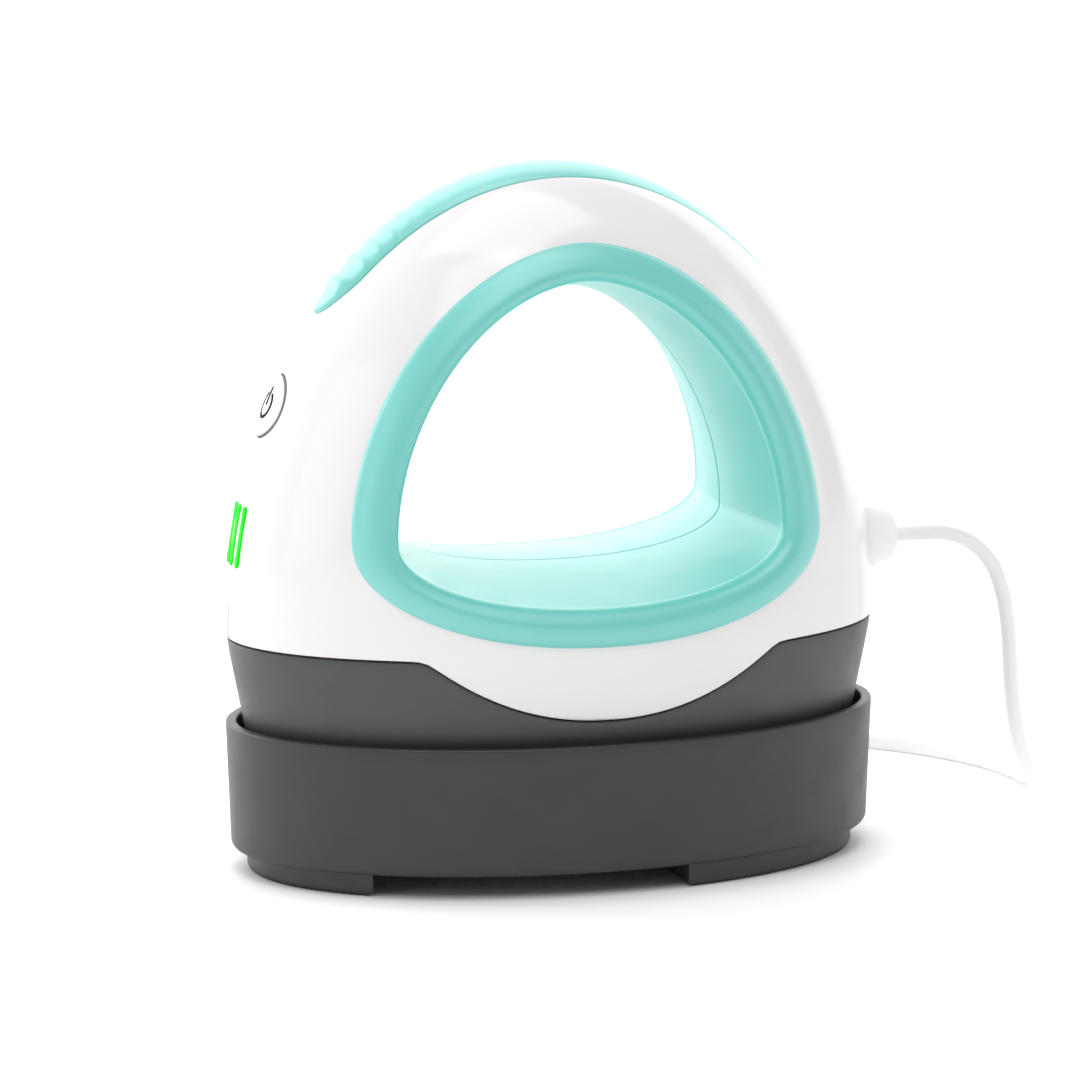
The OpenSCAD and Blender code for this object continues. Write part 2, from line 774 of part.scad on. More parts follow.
// ---- strain relief and clamp ----
module strain_relief() {
    root = half_l - 14;
    color(white)
        translate([0, 0, exit_z])
            rotate([0, 90, 0])
                rotate_extrude()
                    polygon([[0, root], [relief_d / 2 + 2, root], [relief_d / 2 + 2, root + 2.5],
                        [relief_d / 2, root + 2.5], [relief_d / 2, half_l - 1.5],
                        [relief_end_d / 2 + 0.6, relief_tip - 1.6], [relief_end_d / 2, relief_tip - 0.7],
                        [relief_end_d / 2 - 1, relief_tip], [0, relief_tip]]);
}
clamp_x = half_l - 18.5;
clamp_t = 4;
clamp_h = 5;
clamp_screw_d = 2;
clamp_screw_y = 4.6;
// The clamp is a bar between the housing's inner walls
clamp_w = 2 * (side_y(clamp_x + clamp_t / 2, exit_z + clamp_h / 2, -housing_wall) - fit_gap);
module cord_clamp() {
    color("#DADADA") difference() {
        translate([clamp_x - clamp_t / 2, -clamp_w / 2, exit_z - clamp_h / 2])
            cube([clamp_t, clamp_w, clamp_h]);
        translate([clamp_x - clamp_t, 0, exit_z])
            rotate([0, 90, 0])
                cylinder(d = cord_d + 2 * fit_gap, h = 2 * clamp_t, $fn = 24);
        for (s = [-1, 1])
            translate([clamp_x, s * clamp_screw_y, exit_z - clamp_h])
                cylinder(d = clamp_screw_d + 2 * screw_gap, h = 2 * clamp_h, $fn = 24);
    }
}
clamp_head_d = 3.4;
clamp_head_t = 1.2;
module clamp_screws() {
    color(metal)
        for (s = [-1, 1])
            translate([clamp_x, s * clamp_screw_y, exit_z + clamp_h / 2]) {
                cylinder(d = clamp_head_d, h = clamp_head_t, $fn = 24);
                translate([0, 0, -clamp_h])
                    cylinder(d = clamp_screw_d, h = clamp_h + clamp_head_t / 2, $fn = 24);
            }
}

// ---- wires inside: the routes run under the opening to the board ----
lead_d = 1.6;
lead_sides = 6;
solder_gap = 0.5;
// Foot of the board, where the wires join it
board_foot = [board_x - board_l / 2 * sin(board_tilt), board_mid_z - board_l / 2 * cos(board_tilt) - solder_gap];
channel_z = chassis_z + chassis_t + 6;
channel_end = half_l - 38;
heater_y = 3.4;
supply_y = 1.1;
rise = [4, -6];
function heater_path(s) = [
    [leg_x + 6, s * element_gap / 2, element_z],
    [notch_x + 1, s * element_gap / 2, element_z + 1],
    [notch_x + notch_l - 1.5, s * (lead_hole_d - 1), element_z + 6],
    [lead_hole_x, s * 2.4, chassis_z],
    [lead_hole_x - 3, s * 3, channel_z],
    [channel_end, s * heater_y, channel_z + 1],
    [0, s * heater_y, channel_z + 1],
    [-channel_end, s * heater_y, channel_z + 1],
    [board_foot[0] + rise[0], s * 3, board_foot[1] + rise[1]],
    [board_foot[0], s * 3, board_foot[1]]];
function supply_path(s) = [
    [clamp_x - clamp_t / 2 - fit_gap, s * supply_y, exit_z],
    [clamp_x - 6, s * supply_y, exit_z - 1],
    [clamp_x - 8, s * supply_y, exit_z - 7],
    [clamp_x - 16, s * supply_y, channel_z + 2],
    [0, s * supply_y, channel_z + 1],
    [-channel_end, s * supply_y, channel_z + 1],
    [board_foot[0] + rise[0], s * supply_y, board_foot[1] + rise[1]],
    [board_foot[0], s * supply_y, board_foot[1]]];
module heater_leads() {
    color("#C03A2B")
        for (s = [-1, 1])
            tube(spline(heater_path(s), 2), lead_d / 2, lead_sides);
}
module supply_leads() {
    color("#3565B0")
        for (s = [-1, 1])
            tube(spline(supply_path(s), 2), lead_d / 2, lead_sides);
}

// ---- mains cord: its route behind the press, chosen by hand ----
// Steps from the strain relief's tip; the last number is the height above the lying cord
exit_drop = 56;
cord_route = [[0, 0, 56], [4, 0, 56], [9, 0, 55.7], [14.5, 0.5, 53.5], [19, 1.5, 49], [22, 3, 42.5],
    [24, 5, 34.5], [25.5, 7.5, 26], [27.5, 10.5, 17.5], [30.5, 14.5, 9.5], [34, 20, 3.5],
    [36.5, 27, 0.7], [37, 35, 0], [35, 44, 0], [31, 53, 0], [25, 62, 0], [17, 70, 0],
    [8, 76.5, 0], [-2, 81.5, 0], [-13, 85, 0], [-25, 87.2, 0], [-38, 88.4, 0], [-52, 88.8, 0],
    [-66, 88.8, 0], [-77, 88.8, 0], [-80, 88.8, 0]];
free_path = spline([for (p = cord_route)
    [relief_tip + p[0], p[1], cord_r + p[2] / exit_drop * (exit_z - cord_r)]], 2);
free_end = free_path[len(free_path) - 1];

// ---- coil: four layers, spiralling in and out by turns ----
layers = 4;
loop_rings = 24;
coil_in = (coil_mid_d - coil_turns * coil_pitch) / 2;
coil_out = (coil_mid_d + coil_turns * coil_pitch) / 2;
coil_at = [free_end[0] - cord_d, free_end[1] - coil_out];
layer_steps = coil_turns * loop_rings;
climb_steps = loop_rings / 2;
function coil_point(j, step, r, rise) =
    let (a = 90 + 360 * (j * (coil_turns + 0.5) + step / loop_rings))
    [coil_at[0] + r * cos(a), coil_at[1] + r * sin(a), cord_r + (j + rise) * coil_pitch];
function layer_points(j) = [for (i = [0 : layer_steps - 1])
    let (f = i / layer_steps)
    coil_point(j, i, j % 2 == 0 ? mix(coil_out, coil_in, f) : mix(coil_in, coil_out, f), 0)];
// The half turn where the spiral reverses climbs one layer
function climb_points(j) = [for (i = [0 : climb_steps - 1])
    let (f = i / climb_steps, bow = coil_pitch / 2 * f * (1 - f))
    coil_point(j, layer_steps + i, j % 2 == 0 ? coil_in - bow : coil_out + bow, f)];
coil_core = [for (j = [0 : layers - 1]) each concat(layer_points(j), j < layers - 1 ? climb_points(j) : [])];
coil_last = coil_point(layers - 1, layer_steps, coil_out, 0);
coil_top = cord_r + (layers - 1) * coil_pitch;
coil_path = concat([free_end], coil_core, [coil_last], [coil_last + [cord_d, 0, 0]]);

// Least gap between turns, on the points, leaving out each point's own neighbours
near_rings = 9;
coil_least = min([for (i = [0 : len(coil_path) - 1]) for (k = [i + near_rings : len(coil_path) - 1])
    norm(coil_path[i] - coil_path[k])]) - cord_d;
echo(coil_gap_mm = coil_least);

// ---- tail from the coil to the plug ----
plug_l = 24;
plug_w = 18;
plug_h = 12;
plug_z = plug_h / 2;
// The last number is the share of the drop from the coil's top to the plug's middle
tail_route = [[0, 0, 0], [4, 0, 0], [10, 0.5, 0.13], [17, 2.5, 0.43], [24, 5.6, 0.75],
    [30, 8, 0.95], [34, 8.8, 1], [37, 8.8, 1]];
tail_start = coil_last + [cord_d, 0, 0];
tail_path = spline([for (p = tail_route)
    [tail_start[0] + p[0], tail_start[1] + p[1], mix(coil_top, plug_z, p[2])]], 2);
tail_end = tail_path[len(tail_path) - 1];
echo(cord_length_mm = run_length(free_path) + run_length(coil_path) + run_length(tail_path));

module mains_cord() {
    color(white)
        tube(free_path, cord_r, 8);
}
module cord_coil() {
    color(white)
        tube(coil_path, cord_r, 6);
}
module cord_tail() {
    color(white)
        tube(tail_path, cord_r, 8);
}
plug_edge = 3;
plug_neck_d = 7;
plug_neck_l = 5;
module plug_body() {
    color(white)
        translate(tail_end)
            rotate([0, 90, 0]) {
                cylinder(d1 = cord_d + 2.4, d2 = plug_neck_d + 1, h = plug_neck_l);
                translate([0, 0, plug_neck_l])
                    hull()
                        for (sx = [-1, 1])
                            for (sy = [-1, 1])
                                translate([sx * (plug_h / 2 - plug_edge), sy * (plug_w / 2 - plug_edge), 0]) {
                                    cylinder(r = plug_edge - 1, h = plug_l, $fn = 32);
                                    translate([0, 0, 1])
                                        cylinder(r = plug_edge, h = plug_l - 2, $fn = 32);
                                }
            }
}
blade_l = 17;
blade_h = 6.3;
blade_t = 1.5;
blade_gap = 12.7;
module plug_blades() {
    color(metal)
        for (s = [-1, 1])
            translate(tail_end + [plug_neck_l + plug_l - 4, s * blade_gap / 2, 0])
                difference() {
                    translate([0, -blade_t / 2, -blade_h / 2])
                        cube([blade_l + 4, blade_t, blade_h]);
                    translate([blade_l, 0, 0])
                        rotate([90, 0, 0])
                            cylinder(d = 3, h = 2 * blade_t, center = true, $fn = 24);
                }
}

base_tray();
rest_pad();
foot_pads();
heat_plate();
heating_element();
insulation_pad();
plate_spacers();
chassis_plate();
plate_screws();
thermistor();
thermal_fuse();
heat_shroud();
housing_left();
housing_right();
housing_screws();
liner_left();
liner_right();
top_cap();
power_button();
light_bars();
indicator_leds();
control_board();
power_switch();
board_screws();
board_posts();
heater_leads();
supply_leads();
strain_relief();
cord_clamp();
clamp_screws();
mains_cord();
cord_coil();
cord_tail();
plug_body();
plug_blades();
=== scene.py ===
import math

import bmesh
import bpy
import numpy as np
from mathutils import Matrix, Vector


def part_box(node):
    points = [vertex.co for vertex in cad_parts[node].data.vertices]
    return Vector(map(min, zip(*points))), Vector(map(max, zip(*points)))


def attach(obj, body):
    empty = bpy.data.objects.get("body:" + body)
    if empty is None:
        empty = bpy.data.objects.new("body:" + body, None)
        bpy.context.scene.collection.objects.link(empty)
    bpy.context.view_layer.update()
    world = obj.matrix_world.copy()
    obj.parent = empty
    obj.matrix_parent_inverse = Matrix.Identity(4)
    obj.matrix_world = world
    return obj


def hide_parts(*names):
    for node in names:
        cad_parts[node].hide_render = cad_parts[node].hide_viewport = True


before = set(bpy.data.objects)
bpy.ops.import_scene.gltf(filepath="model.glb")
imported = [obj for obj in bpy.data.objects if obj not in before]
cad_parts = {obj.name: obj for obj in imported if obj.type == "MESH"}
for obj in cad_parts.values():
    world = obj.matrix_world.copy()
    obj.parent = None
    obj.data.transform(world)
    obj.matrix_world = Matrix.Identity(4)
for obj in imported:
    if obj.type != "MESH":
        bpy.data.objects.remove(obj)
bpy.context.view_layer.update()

# Mini handheld heat press: looks. Sizes are in millimetres until a mesh is made.
# +Z up, the nose points to -X, the cord leaves at +X, z = 0 is the table.
MM = 0.001


def corners(node):
    """Lowest and highest corner of a CAD node, in millimetres."""
    return [np.array(c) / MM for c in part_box(node)]


# ---- driving sizes, from the frame where it gives them ----
HOUSING_LO, HOUSING_HI = corners("housing_left")
SHROUD_LO = corners("heat_shroud")[0]
TRAY_HI = corners("base_tray")[1]
PADS_HI = corners("foot_pads")[1]
RELIEF_LO, RELIEF_HI = corners("strain_relief")

HALF_L = HOUSING_HI[0]
HALF_W = -HOUSING_LO[1]
SEAM_Z = 44.4
DOME_H = HOUSING_HI[2] - SEAM_Z
DOME_ROUND = 2.6
WALL = 2.0
TRAY_Z = TRAY_HI[2]
SLOPE = 0.2
SEAM_SOFT = 3.0

TONGUE_MID = 1.0
TONGUE_HALF = 33.5
TONGUE_DROP = 12.0
SHOULDER = 0.07
SEAM_GAP = 0.4

OPEN_Z = 65.5
LIP_HALF = 36.2
LIP_UP = 45.5
LIP_DOWN = 12.3
ROUND_UP = 1.85
ROUND_DOWN = 2.15
BEZEL_W = 8.2
CROWN = 3.4
LINER_T = 2.0

CORD_D = 3.0
CORD_R = CORD_D / 2
EXIT_Z = 57.5
RELIEF_R = 6.7
RELIEF_TIP = RELIEF_HI[0]


# ---- the body's surface: every level is an ellipse in plan ----
def level(z, off):
    return np.clip((z - SEAM_Z) / (DOME_H + off), 0, 1)


def narrow(z):
    v = SEAM_Z - np.asarray(z, float)
    return SLOPE * (v + np.sqrt(v * v + SEAM_SOFT**2)) / 2


def half_length(z, off=0.0):
    return (HALF_L + off) * np.sqrt(np.maximum(0, 1 - level(z, off) ** 2)) - narrow(z)


def half_width(z, off=0.0):
    return (HALF_W + off) * np.sqrt(np.maximum(0, 1 - level(z, off) ** DOME_ROUND)) - narrow(z)


def side_y(x, z, off=0.0):
    a = np.maximum(half_length(z, off), 1e-6)
    return half_width(z, off) * np.sqrt(np.maximum(0, 1 - (x / a) ** 2))


def body_normal(p):
    """Outward normals of the body's surface at points p, in millimetres."""
    x, y, z = p[:, 0], p[:, 1], p[:, 2]
    h = 0.02

    def inside(zz):
        return (x / np.maximum(half_length(zz), 1e-3)) ** 2 + (y / np.maximum(half_width(zz), 1e-3)) ** 2

    a, b = np.maximum(half_length(z), 1e-3), np.maximum(half_width(z), 1e-3)
    n = np.stack([2 * x / a**2, 2 * y / b**2, (inside(z + h) - inside(z - h)) / (2 * h)], 1)
    return n / np.linalg.norm(n, axis=1)[:, None]


def seam_at(x):
    v = 1 - np.abs((x - TONGUE_MID) / TONGUE_HALF) ** 2.2
    return SEAM_Z - TONGUE_DROP * (v + np.sqrt(v * v + SHOULDER**2)) / 2


# ---- the opening: two half superellipses that meet at the widest level ----
def spow(v, e):
    return np.sign(v) * np.abs(v) ** e


def lip(t, out=0.0):
    """Opening's lip in the side view at angle t in degrees, moved outwards by out."""
    s, c = np.sin(np.radians(t)), np.cos(np.radians(t))
    e = 2 / np.where(s >= 0, ROUND_UP, ROUND_DOWN)
    h = np.where(s >= 0, LIP_UP, LIP_DOWN) + 0.85 * out
    return (LIP_HALF + out) * spow(c, e), OPEN_Z + h * spow(s, e)


def mix(a, b, f):
    return a + (b - a) * f


def spline(points, n):
    """Catmull-Rom curve through the points, n steps for each stretch."""
    p = np.asarray(points, float)
    out = []
    last = len(p) - 1
    for i in range(last):
        a, b, c, d = p[max(0, i - 1)], p[i], p[i + 1], p[min(last, i + 2)]
        for k in range(n):
            f = k / n
            out.append(0.5 * (2 * b + (c - a) * f + (2 * a - 5 * b + 4 * c - d) * f * f
                              + (3 * b - a - 3 * c + d) * f**3))
    out.append(p[last])
    return np.array(out)


# ---- meshes ----
def make_object(name, verts, faces, body, slot, material=None):
    """Smooth mesh object from points in millimetres; without a body it stays out of the part."""
    mesh = bpy.data.meshes.new(name)
    points = [tuple(v) for v in np.asarray(verts) * MM]
    mesh.from_pydata(points, [], [tuple(int(i) for i in f) for f in faces])
    mesh.validate()
    bm = bmesh.new()
    bm.from_mesh(mesh)
    bmesh.ops.recalc_face_normals(bm, faces=bm.faces)
    bm.to_mesh(mesh)
    bm.free()
    mesh.polygons.foreach_set("use_smooth", [True] * len(mesh.polygons))
    obj = bpy.data.objects.new(name, mesh)
    bpy.context.scene.collection.objects.link(obj)
    if material:
        mesh.materials.append(material)
    if body:
        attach(obj, body)
    return obj


def grid_faces(n, m, wrap_n=False):
    """Quads between n closed loops of m points, stored loop after loop."""
    rows = n if wrap_n else n - 1
    return [(i * m + k, i * m + (k + 1) % m, ((i + 1) % n) * m + (k + 1) % m, ((i + 1) % n) * m + k)
            for i in range(rows) for k in range(m)]


def ring_mesh(sections):
    """Vertices and faces of a closed ring of equal closed sections."""
    s = np.asarray(sections)
    return s.reshape(-1, 3), grid_faces(s.shape[0], s.shape[1], wrap_n=True)


def stack_mesh(loops):
    """Vertices and faces of a stack of closed loops with flat ends."""
    s = np.asarray(loops)
    n, m = s.shape[:2]
    faces = grid_faces(n, m)
    faces.append(tuple(range(m)))
    faces.append(tuple(range((n - 1) * m, n * m))[::-1])
    return s.reshape(-1, 3), faces


def oval(a, b, z, steps):
    t = np.linspace(0, 2 * math.pi, steps, endpoint=False)
    return np.stack([a * np.cos(t), b * np.sin(t), np.full(steps, float(z))], 1)


def lathe(profile, steps=96):
    """Loops of a profile of (radius, height) pairs turned about +Z."""
    return [oval(max(r, 1e-3), max(r, 1e-3), z, steps) for r, z in profile]


def sharp_by_angle(obj, degrees):
    obj.data.set_sharp_from_angle(angle=math.radians(degrees))


# ---- materials ----
def new_material(name):
    mat = bpy.data.materials.new(name)
    mat.use_nodes = True
    nodes = mat.node_tree.nodes
    return mat, nodes, mat.node_tree.links, nodes["Principled BSDF"]


def noise(nodes, links, scale, detail=3.0, rough=0.5, stretch=(1, 1, 1)):
    """Noise in object space, in features per metre."""
    coord = nodes.new("ShaderNodeTexCoord")
    mapping = nodes.new("ShaderNodeMapping")
    mapping.inputs["Scale"].default_value = stretch
    tex = nodes.new("ShaderNodeTexNoise")
    tex.inputs["Scale"].default_value = scale
    tex.inputs["Detail"].default_value = detail
    tex.inputs["Roughness"].default_value = rough
    links.new(coord.outputs["Object"], mapping.inputs["Vector"])
    links.new(mapping.outputs["Vector"], tex.inputs["Vector"])
    return tex.outputs["Fac"]


def ramp(nodes, links, value, stops):
    node = nodes.new("ShaderNodeValToRGB")
    cr = node.color_ramp
    while len(cr.elements) < len(stops):
        cr.elements.new(0.5)
    for el, (pos, col) in zip(cr.elements, stops):
        el.position = pos
        el.color = (*col, 1) if len(col) == 3 else col
    links.new(value, node.inputs["Fac"])
    return node.outputs["Color"]


def add_bump(nodes, links, bsdf, value, strength, distance):
    bump = nodes.new("ShaderNodeBump")
    bump.inputs["Strength"].default_value = strength
    bump.inputs["Distance"].default_value = distance
    links.new(value, bump.inputs["Height"])
    links.new(bump.outputs["Normal"], bsdf.inputs["Normal"])


def linear(hex_code):
    """Scene-linear colour of an sRGB hex code."""
    v = [int(hex_code[i:i + 2], 16) / 255 for i in (1, 3, 5)]
    return tuple(c / 12.92 if c <= 0.04045 else ((c + 0.055) / 1.055) ** 2.4 for c in v)


def shade(col, f):
    return tuple(min(1.0, c * f) for c in col)


GRAIN_DEPTH = 0.00002


def plastic(name, hex_code, rough, vary=0.03, grain=2600, bump=0.05, rough_vary=0.05, spec=0.5, sub=0.0):
    """Moulded plastic: slight mottling, uneven gloss and a fine moulded grain."""
    mat, nodes, links, bsdf = new_material(name)
    col = linear(hex_code)
    mottle = noise(nodes, links, 45, 4)
    links.new(ramp(nodes, links, mottle, [(0.3, shade(col, 1 - vary)), (0.7, shade(col, 1 + vary))]),
              bsdf.inputs["Base Color"])
    cloud = noise(nodes, links, 160, 3)
    low, high = max(0.02, rough - rough_vary), rough + rough_vary
    links.new(ramp(nodes, links, cloud, [(0.3, (low,) * 3), (0.7, (high,) * 3)]), bsdf.inputs["Roughness"])
    bsdf.inputs["Specular IOR Level"].default_value = spec
    if sub:
        bsdf.inputs["Subsurface Weight"].default_value = sub
        bsdf.inputs["Subsurface Radius"].default_value = (0.002, 0.002, 0.002)
        bsdf.inputs["Subsurface Scale"].default_value = 1.0
    add_bump(nodes, links, bsdf, noise(nodes, links, grain, 2), bump, GRAIN_DEPTH)
    return mat


METAL_GRAIN = 3000


def metal(name, hex_code, rough, stretch=(1, 1, 1)):
    """Bare metal with faint streaks; stretch draws them out along one axis."""
    mat, nodes, links, bsdf = new_material(name)
    col = linear(hex_code)
    streaks = noise(nodes, links, METAL_GRAIN / 10, 4, stretch=stretch)
    links.new(ramp(nodes, links, streaks, [(0.3, shade(col, 0.88)), (0.7, shade(col, 1.08))]),
              bsdf.inputs["Base Color"])
    links.new(ramp(nodes, links, streaks, [(0.3, (rough * 0.8,) * 3), (0.7, (rough * 1.3,) * 3)]),
              bsdf.inputs["Roughness"])
    bsdf.inputs["Metallic"].default_value = 1.0
    add_bump(nodes, links, bsdf, noise(nodes, links, METAL_GRAIN, 2, stretch=stretch), 0.1, GRAIN_DEPTH)
    return mat


def glowing(name, hex_code, strength):
    """Lit diffuser: a dark base with its own light."""
    mat, nodes, links, bsdf = new_material(name)
    col = linear(hex_code)
    diffuser = noise(nodes, links, 500, 2)
    tint = ramp(nodes, links, diffuser, [(0.3, shade(col, 0.9)), (0.7, col)])
    links.new(ramp(nodes, links, diffuser, [(0.3, shade(col, 0.2)), (0.7, shade(col, 0.25))]),
              bsdf.inputs["Base Color"])
    links.new(tint, bsdf.inputs["Emission Color"])
    bsdf.inputs["Emission Strength"].default_value = strength
    bsdf.inputs["Specular IOR Level"].default_value = 0.05
    bsdf.inputs["Roughness"].default_value = 0.5
    return mat


def speckled(name, base_hex, fleck_hex, rough):
    """Non-stick coating with fine flecks."""
    mat, nodes, links, bsdf = new_material(name)
    flecks = noise(nodes, links, 2400, 2, 0.7)
    links.new(ramp(nodes, links, flecks, [(0.56, linear(base_hex)), (0.66, linear(fleck_hex))]),
              bsdf.inputs["Base Color"])
    cloud = noise(nodes, links, 200, 3)
    links.new(ramp(nodes, links, cloud, [(0.3, (rough - 0.06,) * 3), (0.7, (rough + 0.06,) * 3)]),
              bsdf.inputs["Roughness"])
    bsdf.inputs["Metallic"].default_value = 0.3
    add_bump(nodes, links, bsdf, flecks, 0.15, 0.00003)
    return mat


def felt(name, hex_code):
    """Heat resistant silicone foam with a fine open surface."""
    mat, nodes, links, bsdf = new_material(name)
    col = linear(hex_code)
    pores = nodes.new("ShaderNodeTexVoronoi")
    pores.inputs["Scale"].default_value = 900
    coord = nodes.new("ShaderNodeTexCoord")
    links.new(coord.outputs["Object"], pores.inputs["Vector"])
    links.new(ramp(nodes, links, pores.outputs["Distance"], [(0.1, shade(col, 0.6)), (0.6, shade(col, 1.1))]),
              bsdf.inputs["Base Color"])
    bsdf.inputs["Roughness"].default_value = 0.9
    add_bump(nodes, links, bsdf, pores.outputs["Distance"], 0.4, 0.0002)
    return mat


SOFT_TOUCH = {"vary": 0.012, "grain": 3200, "bump": 0.06, "rough_vary": 0.03, "spec": 1.0}
WHITE = plastic("gloss_white", "#EFEDED", 0.14, vary=0.008, grain=420, bump=0.02, rough_vary=0.03)
TEAL = plastic("soft_teal", "#75CFC7", 0.36, **SOFT_TOUCH)
# The cap's teal is a slightly lighter copy of the grip teal: painted sheen for the paler top
TEAL_CAP_PAINTED_SHEEN = plastic("cap_teal", "#79CFC7", 0.36, **SOFT_TOUCH)
DARK = plastic("dark_shroud", "#454546", 0.48, grain=4200, bump=0.14, spec=0.55)
DARK_TRAY = plastic("dark_tray", "#2B2B2C", 0.46, grain=4200, bump=0.14, spec=0.6)
RUBBER = plastic("foot_rubber", "#262627", 0.75, vary=0.06, grain=3600, bump=0.3)
BUTTON_WHITE = plastic("button_white", "#F1F0F0", 0.22, vary=0.008, grain=600, bump=0.03)
MARK_GREY = plastic("mark_grey", "#1C1C1E", 0.7, vary=0.05, grain=3000, bump=0.1, spec=0.1)
# Grey for the button's side: painted shade for the gap round the button
SKIRT_SHADE_GREY = plastic("skirt_grey", "#949597", 0.5, vary=0.04, grain=3000, bump=0.1, spec=0.3)
RELIEF_WHITE = plastic("relief_white", "#F4F4F4", 0.38, vary=0.01, grain=2200, bump=0.08, sub=0.1)
CORD_WHITE = plastic("cord_white", "#EDEDEE", 0.36, vary=0.012, grain=2200, bump=0.08)
PLUG_WHITE = plastic("plug_white", "#F0F0F0", 0.34, vary=0.012, grain=2000, bump=0.08)
GREEN = glowing("bar_green", "#00F010", 0.85)

CAD_MATERIALS = {
    "rest_pad": felt("rest_pad_foam", "#8A8C8E"),
    "heat_plate": speckled("plate_coating", "#3B3D40", "#9DA0A4", 0.42),
    "heating_element": metal("element_steel", "#A9A29A", 0.38, stretch=(0.2, 1, 1)),
    "insulation_pad": speckled("mica_sheet", "#D6CDB8", "#F2EBD8", 0.55),
    "plate_spacers": metal("spacer_zinc", "#B8BBBF", 0.32, stretch=(1, 1, 0.2)),
    "chassis_plate": plastic("chassis_resin", "#B9B5A9", 0.55, vary=0.04, grain=1800, bump=0.2),
    "plate_screws": metal("screw_zinc", "#BFC1C4", 0.28),
    "thermistor": plastic("sensor_resin", "#3A2A20", 0.3, vary=0.05),
    "thermal_fuse": metal("fuse_metal", "#C9C6BE", 0.3),
    "housing_screws": metal("screw_black_zinc", "#8C8E92", 0.35),
    "indicator_leds": plastic("led_resin", "#E8FFE8", 0.15, vary=0.01),
    "control_board": plastic("board_green", "#2E7D4F", 0.35, vary=0.08, grain=900, bump=0.2),
    "power_switch": plastic("switch_black", "#232325", 0.45, vary=0.05),
    "board_screws": metal("board_screw_zinc", "#BFC1C4", 0.28),
    "board_posts": plastic("bracket_white", "#E6E5E2", 0.5, vary=0.02),
    "heater_leads": plastic("lead_red", "#B23A2C", 0.45, vary=0.06, grain=1500, bump=0.2),
    "supply_leads": plastic("lead_blue", "#355FA8", 0.45, vary=0.06, grain=1500, bump=0.2),
    "cord_clamp": plastic("clamp_white", "#DEDDDA", 0.5, vary=0.02),
    "clamp_screws": metal("clamp_screw_zinc", "#BFC1C4", 0.28),
    "plug_blades": metal("blade_brass", "#D9C68E", 0.24, stretch=(0.2, 1, 1)),
    "light_bars": GREEN,
}
for node, mat in CAD_MATERIALS.items():
    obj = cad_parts[node]
    obj.data.materials.clear()
    obj.data.materials.append(mat)
    for poly in obj.data.polygons:
        poly.material_index = 0

# ---- camera: far off with a long lens, a little above the press and turned towards its nose ----
CAM_TURN = math.radians(16)
CAM_RISE = math.radians(10.27)
CAM_FAR = 1000.0
CAM_AIM = np.array([-2.3, 0, 59.8])
FOCAL_PX = 5370.0
FRAME_PX = 1080.0
SENSOR = 36.0
cam_data = bpy.data.cameras.new("camera")
cam = bpy.data.objects.new("camera", cam_data)
bpy.context.scene.collection.objects.link(cam)
cam_dir = np.array([-math.sin(CAM_TURN) * math.cos(CAM_RISE), -math.cos(CAM_TURN) * math.cos(CAM_RISE),
                    math.sin(CAM_RISE)])
cam.location = Vector((CAM_AIM + CAM_FAR * cam_dir) * MM)
cam.rotation_mode = "QUATERNION"
cam.rotation_quaternion = Vector(-cam_dir).to_track_quat("-Z", "Y")
cam_data.sensor_width = SENSOR
cam_data.lens = FOCAL_PX / FRAME_PX * SENSOR
cam_data.clip_start = 0.05
cam_data.clip_end = 20
bpy.context.scene.camera = cam

# ---- mains cord: route behind the press, then the coil, then the plug ----
# Steps from the strain relief's tip; the last number is the height above the lying cord
EXIT_DROP = 56
CORD_ROUTE = [(0, 0, 56), (4, 0, 56), (9, 0, 55.7), (14.5, 0.5, 53.5), (19, 1.5, 49), (22, 3, 42.5),
              (24, 5, 34.5), (25.5, 7.5, 26), (27.5, 10.5, 17.5), (30.5, 14.5, 9.5), (34, 20, 3.5),
              (36.5, 27, 0.7), (37, 35, 0), (35, 44, 0), (31, 53, 0), (25, 62, 0), (17, 70, 0),
              (8, 76.5, 0), (-2, 81.5, 0), (-13, 85, 0), (-25, 87.2, 0), (-38, 88.4, 0), (-52, 88.8, 0),
              (-66, 88.8, 0), (-77, 88.8, 0), (-80, 88.8, 0)]
COIL_TURNS = 3
COIL_MID_D = 36.0
COIL_PITCH = 3.55
LAYERS = 4
LOOP_RINGS = 48
COIL_IN = (COIL_MID_D - COIL_TURNS * COIL_PITCH) / 2
COIL_OUT = (COIL_MID_D + COIL_TURNS * COIL_PITCH) / 2
PLUG_MID_Z = 6.0
TAIL_ROUTE = [(0, 0, 0), (4, 0, 0), (10, 0.5, 0.13), (17, 2.5, 0.43), (24, 5.6, 0.75), (30, 8, 0.95),
              (34, 8.8, 1), (37, 8.8, 1)]


def coil_points(centre):
    """Four layers that spiral in and out by turns, each half turn between them climbing one layer."""
    def at(layer, step, r, rise):
        a = math.radians(90 + 360 * (layer * (COIL_TURNS + 0.5) + step / LOOP_RINGS))
        z = CORD_R + (layer + rise) * COIL_PITCH
        return (centre[0] + r * math.cos(a), centre[1] + r * math.sin(a), z)

    out = []
    steps = COIL_TURNS * LOOP_RINGS
    climb = LOOP_RINGS // 2
    for j in range(LAYERS):
        start, end = (COIL_OUT, COIL_IN) if j % 2 == 0 else (COIL_IN, COIL_OUT)
        out += [at(j, i, mix(start, end, i / steps), 0) for i in range(steps)]
        if j < LAYERS - 1:
            for i in range(climb):
                f = i / climb
                bow = COIL_PITCH / 2 * f * (1 - f) * (1 if end == COIL_OUT else -1)
                out.append(at(j, steps + i, end + bow, f))
    out.append(at(LAYERS - 1, steps, COIL_OUT, 0))
    return out


